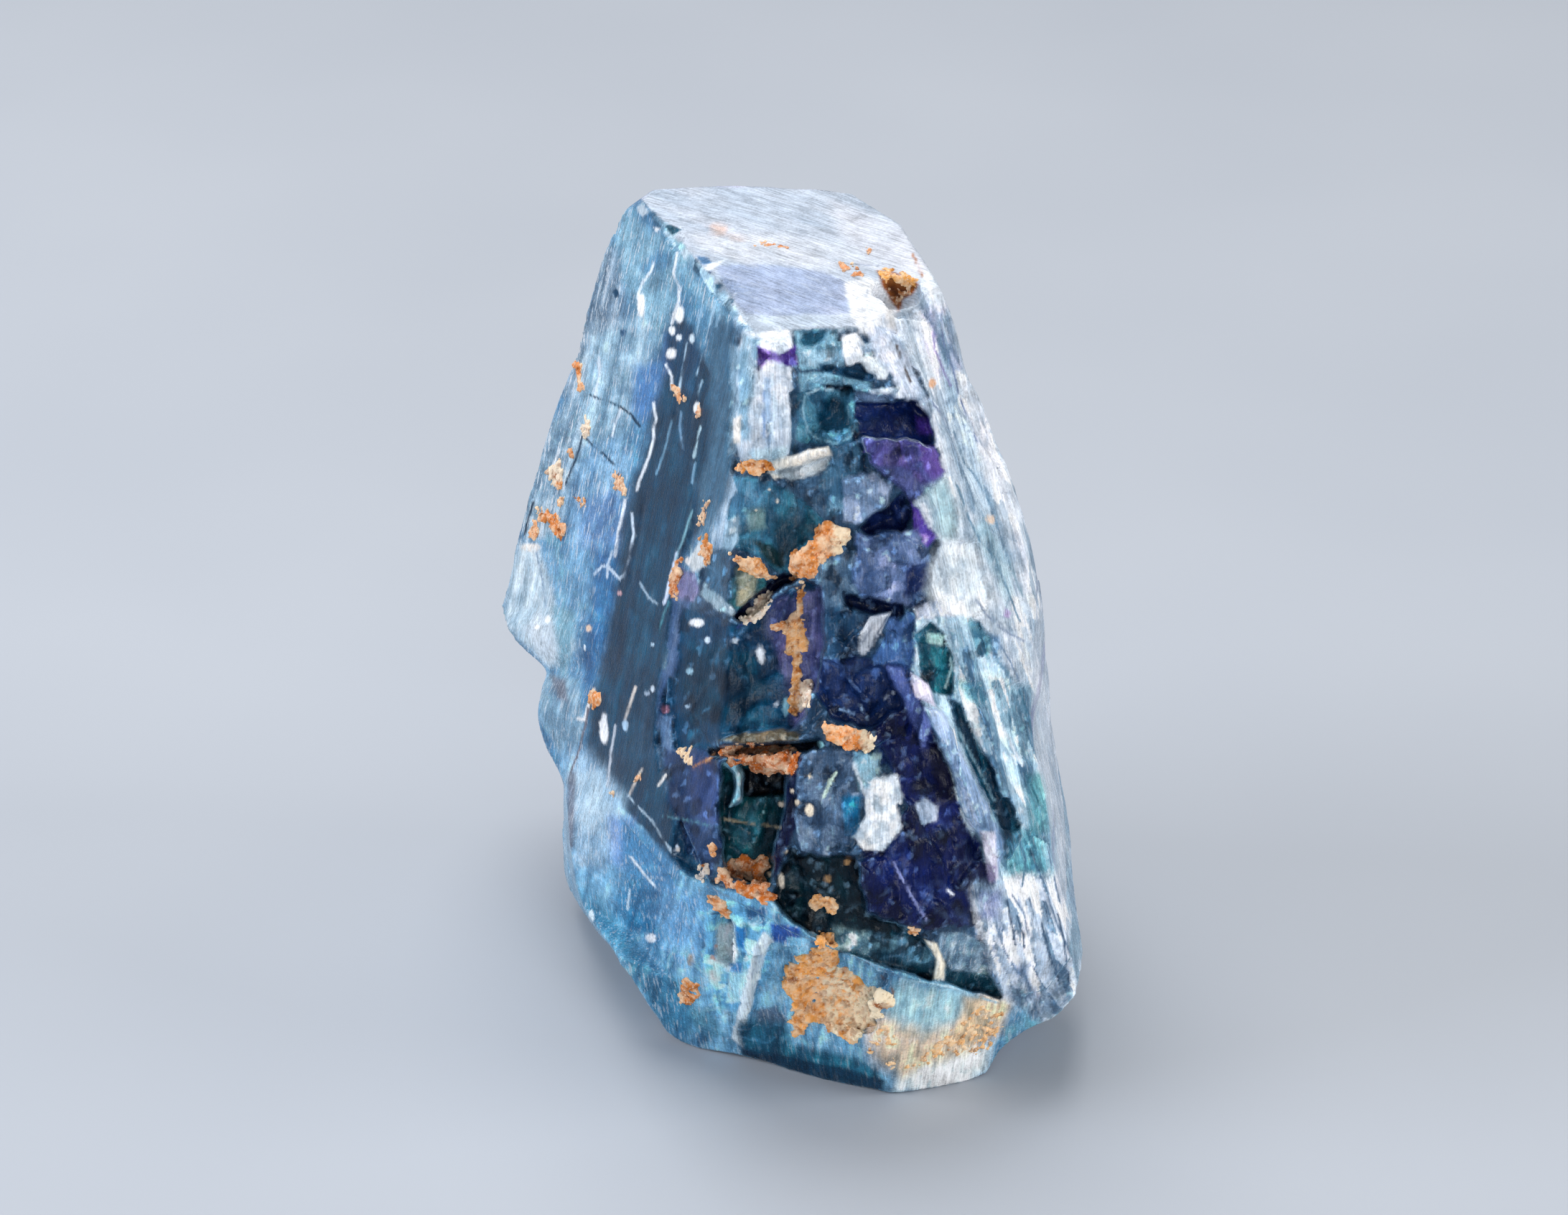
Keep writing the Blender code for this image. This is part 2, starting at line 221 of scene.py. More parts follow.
# What shows on the front, in the order in which it is laid on. After its outline, its
# colour and the width of its soft edge in pixels, a patch says what it needs of these:
# `depth`, how deep it is cut, in millimetres; `lean`, how much deeper it gets over
# LEAN_REACH pixels to the right and down; `rough`, how much it has of the relief of its
# style, and `style`, where that isn't its section's; `cover`, how strongly it covers what
# is below; `mottle`, how uneven its colour is; `frost`, how white and rough its skin is;
# `wisps`, `hairs` and `glints`, how strongly these lie on it; `brush`, how strongly its
# fine scratches show.
LEFT_FACE = {
    "face": patch("890,273 923,311 1021,437 1026,459 1021,612 988,699 941,786 941,852 917,961 923,1070"
        " 988,1234 874,1179 764,1081 743,972 695,852 753,612 835,355",
        "#4C86B0", 6.5, mottle=0.7, brush=0.7),
    "upper_haze": patch("841,328 874,360 865,459 835,546 803,568 781,546 803,459",
        "#7894AC", 28, mottle=0.9, brush=1.0),
    "upper_teal": patch("874,295 923,328 956,360 939,437 919,480 890,470 874,393 857,328",
        "#82B2CC", 22, mottle=0.6, brush=0.8),
    "upper_dark": patch("915,347 937,352 928,377 901,382 890,373", "#5E96BC", 13, mottle=0.6),
    "edge_blue": patch("950,360 1021,442 1010,480 961,415 941,377",
        "#8CC0DC", 15, mottle=0.8, brush=0.8),
    "middle_ice": patch("824,470 890,437 915,470 895,546 863,612 814,612 803,568",
        "#9CC4DC", 28, mottle=0.8, brush=0.7),
    "middle_violet": patch("882,513 928,497 923,568 895,590 879,568", "#4E86C2", 20, mottle=0.4),
    "lower_outer": patch("764,590 808,546 814,612 792,699 764,753 732,753 729,699",
        "#92B4CC", 20, mottle=1.0, brush=1.0),
    "lower_sky": patch("814,617 874,612 874,655 846,753 797,764 788,699",
        "#86B8DE", 22, mottle=0.9, brush=0.8),
    "lower_violet": patch("814,699 874,677 868,753 830,797 803,786",
        "#6C9AD2", 28, mottle=0.6, cover=0.8, brush=0.7),
    "lower_blue": patch("753,764 841,764 857,830 824,939 803,983 770,928",
        "#70A8D0", 22, mottle=0.7, brush=0.6),
    "deep_blue": patch("828,764 874,764 857,874 832,950 814,983 810,917",
        "#24669C", 24, mottle=0.7, brush=0.4),
    "pale_lobe": patch("723,753 753,764 781,852 803,906 781,928 764,928 721,890 700,868 704,819",
        "#B4CAD8", 13, mottle=0.6, frost=0.5),
    "white_lobe": patch("729,874 753,852 778,874 770,919 753,915",
        "#BECCD8", 13, mottle=0.2, frost=0.6),
    "teal_flank": patch("770,841 803,852 792,939 781,945", "#7FB0C6", 11),
    "ledge_side": patch("764,935 803,948 814,1005 797,1076 778,1048 753,999 753,966",
        "#7BA3BE", 6.5, mottle=0.6),
    "ledge_brown": patch("767,941 788,948 792,977 778,975", "#71798A", 6.5, mottle=0.4),
    "dark_face": patch("946,435 988,464 1026,524 1021,655 988,721 961,764 941,786 941,852 923,961 923,1048"
        " 950,1158 988,1232 939,1207 874,1147 839,1092 817,1037 819,983 839,928 854,841 857,786 874,699"
        " 890,644 912,568 923,491 931,450", "#023856", 22, mottle=0.8, brush=0.16, wisps=0.05),
    "grey_band": patch("988,431 1029,459 1026,612 1010,699 983,753 972,710 988,612 988,513",
        "#44708E", 17, mottle=0.35, brush=0.12, wisps=0.05),
    "teal_tint": patch("950,382 988,431 988,513 972,480 952,437",
        "#5C9AC0", 13, mottle=0.5, cover=0.8),
    "violet_tint": patch("923,459 941,470 941,513 923,524", "#406CA6", 11, cover=0.6),
    "ink_spot": patch("928,459 961,453 977,491 961,546 928,513", "#0E4468", 13, mottle=0.6, brush=0.1),
}
# The top face is painted pale: its frosted colour with the sheen of the light from above painted in, lightest
# in top_light and top_right.
TOP_FACE = {
    "top": patch("890,273 917,258 1092,260 1190,268 1256,308 1299,371 1267,437 1223,448 1051,459 1021,437"
        " 923,311", "#BAC4D2", 4.5, mottle=0.2, frost=0.5),
    "top_light": patch("983,328 1092,328 1179,339 1234,360 1223,377 1016,366 950,328",
        "#C8CED8", 17, mottle=0.2, frost=0.5),
    "top_right": patch("1158,278 1245,306 1294,371 1267,393 1212,360 1168,328",
        "#CACED8", 20, mottle=0.2, frost=0.55),
    "lower_facet": patch("998,369 1076,369 1136,376 1164,384 1178,393 1184,442 1125,437 1076,441 1057,454"
        " 1032,431 1007,393", "#A2AFCA", 4.5, mottle=0.2, frost=0.45),
    "facet_foot": patch("1037,437 1076,441 1184,439 1190,452 1051,459",
        "#C4D0DE", 8.5, mottle=0.2, frost=0.45),
    "white_bank": patch("1178,393 1201,384 1234,395 1250,431 1245,464 1214,480 1188,453 1184,437",
        "#E2E4E8", 7.5, mottle=0.15, frost=0.8, style='frosted'),
    "bank_shade": patch("1230,415 1245,413 1248,464 1236,456",
        "#DCD8D6", 7.5, frost=0.5, style='frosted'),
    "rim_step": patch("893,280 928,311 988,377 1032,437 1046,456 1021,442 961,366 917,319",
        "#8FB4CC", 4.5, mottle=0.9, frost=0.4, style='shattered', depth=0.02, rough=0.35),
    "teal_chip": patch("926,314 934,313 950,320 937,328", "#26586E", 2, depth=0.3),
    "blue_chip": patch("970,356 986,358 992,366 978,369", "#5C88B4", 2, depth=0.25),
    # A painted highlight: a white streak on the rim.
    "white_highlight": patch("978,376 988,368 1010,361 1002,369 989,376", "#F2F5F9", 2, frost=1),
    "pocket_brown": patch("1220,376 1245,378 1280,395 1278,404 1258,417 1254,435 1245,424 1230,400",
        "#8A4E22", 4.5, mottle=0.8, frost=0.9),
    "pocket_dark": patch("1234,395 1256,400 1271,404 1254,415 1241,411",
        "#4A250E", 4.5, mottle=0.6, frost=0.9),
    "stain_left": patch("988,313 1002,310 1013,317 1011,328 994,329", "#DCC2B6", 7.5, cover=0.8),
    "stain_low": patch("1013,328 1033,329 1035,336 1018,336", "#DCC4BA", 6.5, cover=0.7),
    "small_chip": patch("985,378 992,377 990,381", "#2E4A78", 2),
    "teal_nick": patch("996,395 1005,394 1007,400 998,402", "#4A7E99", 2),
    "grey_nick": patch("1013,415 1023,417 1020,423", "#4F7A98", 2),
    "rim_white": patch("887,288 895,283 904,295 895,302 888,295", "#B0BECA", 3.5, frost=0.8),
    "rim_white_low": patch("910,316 919,318 915,324", "#EDEFF2", 2, frost=0.8),
}
BROKEN_FRONT = {
    "ground": patch("1026,465 1103,465 1190,459 1245,470 1299,551 1327,666 1360,764 1441,939 1480,1147"
        " 1498,1289 1420,1365 1310,1376 1158,1310 988,1234 923,1070 919,983 941,843 988,778 1016,753"
        " 1023,699 1024,612", "#2C4A66", 8.5, mottle=0.6, depth=0.55, lean=(0.12, 0.0)),
    "column_side": patch("1018,480 1048,480 1051,612 1016,633", "#8DB0C8", 8.5, depth=0.2),
    "icy_column": patch("1035,459 1101,456 1103,612 1097,633 1076,639 1032,644 1026,622 1024,546",
        "#D0DAE6", 4.5, mottle=0.7, depth=-0.05, lean=(0.6, 0), frost=0.8, style='frosted'),
    "column_cyan": patch("1035,464 1054,470 1051,546 1037,612 1026,590", "#A9CDE2", 8.5),
    "column_blue": patch("1048,470 1061,472 1057,513 1046,508", "#8DB4D0", 5.5),
    "column_left": patch("1026,489 1045,485 1043,612 1030,614", "#90BEDA", 6.5, cover=0.8, frost=0.5),
    "column_shadow": patch("1065,526 1072,522 1076,612 1067,628",
        "#84A8CC", 4.5, cover=0.8, frost=0.5),
    "column_haze": patch("1046,628 1097,622 1092,644 1037,646", "#C0E0F0", 6.5),
    "column_cream": patch("1021,584 1033,579 1031,617 1022,617", "#F0E9E0", 3.5, frost=0.7),
    "violet_wing": patch("1057,480 1072,486 1092,494 1106,480 1109,500 1097,508 1076,502 1059,515",
        "#8262CC", 5.5, cover=0.9),
    "violet_left": patch("1055,480 1075,495 1057,517", "#2A1758", 3.5),
    "violet_right": patch("1082,495 1107,480 1111,507 1093,510", "#452A86", 3.5),
    "column_crack": patch("1099,546 1109,546 1114,590 1107,646 1099,633 1103,590",
        "#3A5C78", 3.5, depth=0.9),
    "teal_box": patch("1106,459 1168,453 1173,513 1112,513",
        "#86BAD4", 3.5, depth=0.5, lean=(-0.4, 0.6), mottle=0.5),
    "box_swirl": patch("1112,472 1125,461 1144,463 1155,456 1147,472 1131,483 1116,480",
        "#3C7C98", 3.5, depth=0.8),
    "box_foot": patch("1112,487 1173,491 1175,511 1116,509", "#A0CAE2", 4.5, mottle=0.4),
    "white_knob": patch("1173,467 1192,463 1206,480 1201,505 1179,509 1171,491",
        "#F4F6FA", 4.5, depth=-0.1, frost=0.9, style='frosted'),
    "white_knob_low": patch("1197,500 1223,494 1238,509 1234,529 1212,526",
        "#E4ECF2", 4.5, depth=0.1, frost=0.9, style='frosted', mottle=0.35),
    "blue_gap": patch("1197,480 1214,476 1221,489 1206,498", "#A4C0DC", 4.5, depth=0.2),
    "frosted_bank": patch("1206,459 1245,459 1272,513 1294,568 1302,598 1278,590 1256,551 1234,513 1214,489",
        "#B6C2D4", 5.5, depth=0.1, frost=0.8, mottle=0.9, style='frosted'),
    "lens_upper": patch("1142,507 1174,511 1221,524 1214,531 1174,526 1149,518",
        "#2E6288", 3.5, depth=1.1),
    "ledge_light": patch("1112,518 1147,518 1214,533 1212,546 1158,539 1114,546",
        "#7CB0CC", 3.5, depth=0.5, lean=(0, -1.2), mottle=0.5),
    "lens_lower": patch("1144,535 1185,537 1192,546 1158,548", "#08243C", 3.5, depth=1.3),
    "grey_strip": patch("1210,542 1254,539 1258,555 1214,557",
        "#C8D6E6", 3.5, depth=0.4, frost=0.6, mottle=0.5),
    "teal_bowl": patch("1112,546 1185,544 1190,590 1185,614 1147,622 1114,612",
        "#407C9A", 4.5, depth=0.9, mottle=0.5),
    "bowl_core": patch("1142,559 1164,553 1179,566 1184,590 1168,603 1149,601 1138,583",
        "#063A54", 10, depth=1.2),
    "black_wedge": patch("1188,550 1234,559 1272,560 1289,577 1297,620 1234,614 1192,596",
        "#08205A", 3.5, depth=1.3, lean=(0.4, -1.6), mottle=0.5, rough=0.5, wisps=0.3, glints=0.2),
    "wedge_light": patch("1190,546 1245,550 1247,561 1192,559", "#6E88AA", 3.5, depth=0.8),
    "wedge_violet": patch("1275,581 1293,581 1297,603 1280,603", "#5A3CA8", 5.5),
    "purple_block": patch("1201,603 1245,614 1296,620 1306,638 1317,656 1289,679 1272,699 1245,673 1212,646",
        "#5E569E", 3.5, depth=-0.3, lean=(0.5, 0.6), mottle=0.6),
    "block_rim": patch("1278,618 1297,620 1317,655 1299,668 1286,651", "#7658B4", 5.5),
    "block_foot": patch("1210,644 1267,655 1289,679 1272,701 1243,673", "#4E5890", 6.5, mottle=0.5),
    "block_crack": patch("1184,598 1201,603 1206,662 1190,655", "#143050", 4.5, depth=1.2),
    "grey_blue": patch("1153,618 1192,612 1201,661 1185,701 1158,721 1144,677",
        "#44708E", 4.5, depth=0.5, mottle=0.7),
    "strip_peach": patch("1066,646 1125,627 1153,624 1158,634 1116,660 1079,666",
        "#EEE8DC", 3.5, depth=0.2, lean=(0, 1.0), frost=0.8, style='frosted'),
    "strip_shade": patch("1070,657 1158,636 1149,655 1103,668", "#CCDCE6", 4.5, depth=0.7),
    "teal_facet": patch("1024,668 1043,664 1076,668 1114,693 1153,725 1131,756 1103,770 1095,792 1087,803"
        " 1059,778 1016,764 1016,710",
        "#2C6A86", 3.5, depth=0.8, lean=(1.1, 0.7), mottle=0.45, rough=0.4, glints=0.25),
    "facet_sky": patch("1026,668 1076,670 1065,699 1037,726 1018,721",
        "#5A9CC0", 11, mottle=0.4, glints=0.3),
    "facet_deep": patch("1097,699 1141,723 1125,753 1097,770 1076,764 1081,726",
        "#12465C", 8.5, mottle=0.4, glints=0.2),
    "facet_foot": patch("1048,753 1092,764 1092,797 1065,781", "#0A2A30", 5.5),
    "facet_olive": patch("1040,710 1066,708 1066,738 1043,740", "#98B4A4", 8.5, cover=0.45),
    "facet_pale": patch("1011,729 1031,715 1029,753 1016,771 1005,764", "#A4C4D8", 4.5, frost=0.5),
    "mottled_slope": patch("1136,758 1185,743 1212,764 1207,846 1147,863 1136,808",
        "#40607E", 6.5, depth=0.7, mottle=0.8),
    "grey_knob": patch("1174,668 1212,655 1241,677 1234,710 1207,725 1179,721",
        "#849CBE", 5.5, depth=0.1, mottle=0.5, frost=0.3),
    "black_gap": patch("1201,734 1216,715 1256,688 1270,710 1256,736 1223,753",
        "#122458", 3.5, depth=1.5),
    "purple_corner": patch("1269,697 1289,721 1306,745 1286,769 1271,764", "#5A42B0", 3.5, depth=0.1),
    "corner_light": patch("1278,743 1293,747 1286,764 1275,762", "#C0A0FF", 4.5),
    "violet_slope": patch("1192,743 1272,738 1291,767 1297,806 1278,846 1212,841 1188,803",
        "#425C88", 5.5, depth=0.4, lean=(0.3, 0.5), mottle=0.9),
    "slope_ink": patch("1262,788 1291,786 1293,819 1256,832", "#162A5C", 6.5),
    "dark_gap": patch("1175,821 1212,832 1256,843 1251,874 1212,854 1179,841",
        "#08183A", 4.5, depth=1.5),
    "light_rod": patch("1190,900 1212,858 1243,850 1225,882 1203,915",
        "#B8C0CC", 2, depth=0.1, mottle=0.2, frost=0.5, style='smooth', rough=0.0),
    "navy_gap": patch("1212,913 1239,863 1267,852 1283,874 1272,928 1223,939",
        "#5480C0", 5.5, depth=1.1, mottle=0.4),
    "mottled_pocket": patch("1142,847 1192,843 1197,906 1158,928 1140,895",
        "#264E70", 6.5, depth=0.8, mottle=0.9),
    "bowl_left": patch("1010,803 1037,795 1068,806 1065,846 1032,852 1010,835",
        "#2C6C78", 5.5, depth=1.0, mottle=0.6),
    "olive_bank": patch("1022,791 1055,788 1048,846 1026,843", "#A0A690", 5.5, depth=0.7, mottle=0.6),
    "rim_grey": patch("983,764 1016,767 1018,830 996,846 983,803",
        "#3A6684", 6.5, depth=0.1, mottle=0.4),
    "rim_pale": patch("957,782 975,753 984,788 963,799", "#DCE0E2", 3.5, frost=0.6, style='frosted'),
    "rim_light": patch("977,808 1021,846 1026,858 999,850 974,824", "#9CB6C6", 4.5, frost=0.4),
    "rim_purple": patch("941,788 965,795 972,824 950,850 937,835",
        "#6C709C", 5.5, mottle=0.5, depth=0.15, rough=0.2),
    "rim_band": patch("937,830 961,839 948,950 919,1016 915,983 928,917",
        "#42608A", 5.5, mottle=0.4, depth=0.15, rough=0.2, glints=0.1),
    "crescent_gap": patch("1018,858 1057,821 1107,791 1109,802 1076,830 1040,865",
        "#060D2A", 3.5, depth=2.0),
    "blue_facet": patch("948,846 1026,868 1092,830 1116,808 1141,814 1144,906 1130,983 1097,1021 1016,1029"
        " 966,1054 928,1037 923,983 941,928",
        "#063A5C", 3.5, depth=1.5, lean=(1.2, 0.4), mottle=0.55, rough=0.45, glints=0.5),
    "facet_violet": patch("1076,841 1141,817 1144,906 1130,988 1105,1010 1092,939 1065,874",
        "#565C92", 13, mottle=0.5, glints=0.5),
    "facet_mist": patch("961,1016 1026,988 1076,983 1092,1010 1016,1032 966,1054",
        "#164E70", 11, mottle=0.6, glints=0.5),
    "facet_rim": patch("919,996 937,999 939,1076 926,1065",
        "#4E7098", 6.5, mottle=0.4, depth=0.15, rough=0.2, glints=0.1),
    "facet_core": patch("961,895 1048,906 1076,961 1026,1005 961,1005 945,950",
        "#02344E", 22, mottle=0.55, glints=0.5),
    "ledge_tan": patch("999,1031 1026,1022 1090,1013 1114,1020 1112,1031 1037,1035",
        "#5E5A4A", 3.5, depth=0.3, lean=(0, -1.5), mottle=0.5),
    # A painted shadow: a near-black band in the gap under the ledge.
    "ledge_shadow": patch("988,1040 1141,1031 1141,1044 1048,1051 988,1055", "#1A1C24", 4.5, depth=2.4),
    "under_ledge": patch("928,1040 983,1043 1010,1076 1010,1158 988,1228 961,1190 934,1114",
        "#24406A", 6.5, depth=0.6, mottle=0.5, lean=(0.8, 0.0), rough=0.6),
    "panel_violet": patch("961,1054 1010,1059 1010,1141 977,1152 956,1103", "#30487C", 13, mottle=0.4),
    "cavity": patch("1007,1057 1101,1065 1097,1147 1076,1234 1016,1223 999,1158",
        "#05343E", 4.5, depth=2.6, mottle=0.7),
    "cavity_black": patch("1030,1070 1101,1072 1099,1105 1037,1108", "#010408", 4.5, depth=3.2),
    "strut": patch("1007,1061 1026,1061 1035,1076 1033,1116 1016,1125 1024,1097 1020,1076",
        "#90CEE8", 3.5, depth=0.9, frost=0.4),
    "cavity_sheen": patch("1016,1136 1043,1125 1065,1147 1048,1185 1021,1185",
        "#0C4858", 8.5, mottle=0.7),
    "upper_navy": patch("1141,913 1201,915 1267,928 1289,988 1272,1065 1212,1065 1223,1016 1158,999"
        " 1136,961", "#163064", 4.5, depth=1.2, lean=(-0.4, 0.5), mottle=0.7),
    "navy_mass": patch("1212,1016 1275,961 1310,1048 1360,1158 1385,1223 1354,1289 1267,1291 1190,1267"
        " 1185,1201 1234,1190 1267,1125 1234,1070",
        "#081446", 4.5, depth=0.1, lean=(0.6, 0), mottle=0.8),
    "mass_violet": patch("1234,928 1256,930 1294,1005 1289,1048 1267,999", "#6478C0", 6.5, depth=0.3),
    "mass_ink": patch("1294,1035 1328,1037 1334,1114 1305,1116", "#05072A", 8.5),
    "mass_blue": patch("1201,1179 1289,1179 1343,1256 1310,1289 1212,1272", "#021450", 15, mottle=0.8),
    "column_navy": patch("1094,1046 1116,1044 1112,1136 1092,1190 1081,1223 1076,1190 1092,1114",
        "#0A1238", 4.5, depth=0.7),
    "purple_column": patch("1116,1046 1158,1040 1201,1044 1203,1103 1190,1163 1158,1190 1119,1201 1105,1158",
        "#587494", 4.5, depth=0.2, lean=(0.5, 0), mottle=0.9),
    "column_teal_box": patch("1188,1046 1225,1048 1221,1096 1197,1101",
        "#98CCE4", 4.5, depth=0.4, mottle=0.6),
    "column_glow": patch("1173,1109 1199,1107 1195,1160 1177,1162", "#0C78AA", 6.5, mottle=0.4),
    "white_blob": patch("1206,1101 1227,1079 1247,1075 1260,1107 1251,1125 1258,1153 1230,1184 1206,1184"
        " 1188,1164 1208,1136", "#D2DEE8", 4.5, depth=0.2, frost=0.9, mottle=1.0, style='frosted'),
    "light_blob": patch("1275,1120 1289,1112 1308,1125 1306,1144 1286,1149",
        "#D4E0F4", 4.5, frost=0.6, style='frosted', mottle=0.8),
    "facet_lip": patch("1029,438 1076,441 1184,439 1192,452 1160,459 1103,458 1051,463",
        "#BCC8D6", 3.5, depth=0, rough=0.0, mottle=0.1, frost=0.5, style='smooth'),
    "foot_dark": patch("1101,1184 1185,1190 1212,1272 1267,1291 1267,1339 1158,1316 1101,1289 1076,1256"
        " 1090,1212", "#051F2A", 4.5, depth=1.6, mottle=0.9, wisps=0.5, glints=1.0),
}
RIGHT_SIDE = {
    "strip": patch("1256,437 1299,366 1324,426 1354,524 1425,715 1447,786 1461,906 1469,1016 1505,1212"
        " 1518,1316 1507,1376 1452,1431 1409,1409 1378,1360 1385,1234 1420,1158 1439,1048 1398,961 1338,863"
        " 1299,814 1306,753 1273,699 1317,657 1299,612 1295,568",
        "#C8D4E0", 5.5, mottle=0.5, depth=0, rough=0.18, frost=0.5, glints=0),
    "strip_violet": patch("1286,431 1316,426 1338,513 1310,524 1289,480",
        "#D4D2EE", 15, mottle=0.6, cover=0.8, glints=0, hairs=0.7),
    "blue_streak": patch("1302,431 1321,437 1330,524 1349,579 1362,617 1367,646 1382,699 1387,715 1406,770"
        " 1411,803 1387,784 1354,712 1334,655 1324,612 1316,546",
        "#AECADF", 13, mottle=0.6, cover=0.9, glints=0, hairs=0.6),
    "streak_low": patch("1352,729 1378,726 1411,797 1420,874 1406,852 1381,786 1360,759",
        "#A8CEDE", 15, mottle=0.6, cover=0.8, glints=0, hairs=0.6),
    "white_edge": patch("1350,546 1365,546 1409,699 1398,710 1367,633",
        "#C4CEDA", 13, frost=0.6, glints=0),
    "pale_teal": patch("1289,679 1316,662 1330,699 1334,753 1310,753 1299,710",
        "#B0D2DC", 20, mottle=0.5, depth=0.5, frost=0.5, style='frosted'),
    "white_slope": patch("1308,753 1360,753 1381,830 1354,863 1310,852 1294,819",
        "#F0F6FA", 26, mottle=0.45, depth=0.5, frost=0.7, style='frosted'),
    "slope_blue": patch("1272,846 1310,832 1327,863 1283,874", "#CAD8EE", 7.5, mottle=0.6, depth=0.5),
    "strip_pale_blue": patch("1403,830 1452,830 1465,983 1431,983 1409,917",
        "#D4E4F2", 17, mottle=0.5, glints=0, hairs=0.4),
    "slope_mottled": patch("1275,863 1343,857 1409,939 1441,1048 1469,1158 1480,1256 1398,1256 1354,1158"
        " 1289,988 1267,928", "#88ACC4", 6.5, mottle=1.0, depth=0.4, frost=0.5),
    "teal_clump": patch("1272,887 1297,869 1316,882 1328,919 1326,970 1306,968 1282,948",
        "#0A465A", 4.5, depth=1.1, mottle=1.0, style='shattered'),
    "clump_mint": patch("1291,882 1315,885 1313,898 1293,895", "#A8DCDA", 4.5, frost=0.4),
    "clump_sheen": patch("1297,898 1319,904 1315,935 1302,926", "#2A8A9A", 5.5),
    "teal_window": patch("1346,860 1363,865 1380,887 1378,919 1361,913",
        "#5E9CB8", 8.5, depth=0.7, mottle=0.7, style='shattered'),
    "blue_window": patch("1380,882 1391,887 1393,915 1382,917",
        "#5F8CB4", 8.5, mottle=0.6, style='shattered'),
    "dark_band": patch("1321,977 1338,983 1357,1021 1389,1076 1428,1160 1409,1174 1378,1116 1345,1046",
        "#16506A", 6.5, depth=1.4, mottle=1.0),
    "teal_patch": patch("1332,948 1365,950 1378,983 1349,978", "#68AAC6", 13, depth=0.6, mottle=0.7),
    "teal_field": patch("1378,948 1436,952 1458,1048 1439,1065 1403,1016",
        "#B0D8EA", 20, mottle=0.9, depth=0.5),
    "teal_foot": patch("1387,1160 1455,1147 1469,1256 1409,1256",
        "#3E7890", 20, mottle=1.2, depth=0.5),
    "teal_corner": patch("1428,1081 1458,1076 1463,1158 1439,1160", "#62A6B6", 15, mottle=0.9),
    "long_streak": patch("1286,986 1313,988 1328,1024 1354,1075 1380,1127 1398,1174 1387,1225 1363,1171"
        " 1315,1055", "#90ACD0", 3.5, depth=-0.5, lean=(0.8, 0), mottle=0.7, frost=0.5),
    "streak_head": patch("1267,934 1293,952 1304,985 1275,970", "#DAD8EF", 3.5, depth=-0.3, frost=0.7),
    "streak_tip": patch("1365,1158 1385,1158 1391,1223 1378,1227", "#EEEAFC", 4.5, frost=0.6),
    "magenta_end": patch("1374,1201 1389,1206 1387,1230 1376,1225", "#6A3A9A", 4.5, cover=0.6),
    "splinters": patch("1354,1234 1420,1223 1502,1212 1516,1316 1509,1376 1463,1425 1420,1420 1378,1365",
        "#C0D2E6", 24, mottle=1.1, depth=0.5, frost=0.5, hairs=1.0),
    "splinter_violet": patch("1363,1245 1393,1241 1391,1280 1367,1280",
        "#A2AAE0", 17, mottle=0.5, cover=0.7),
}
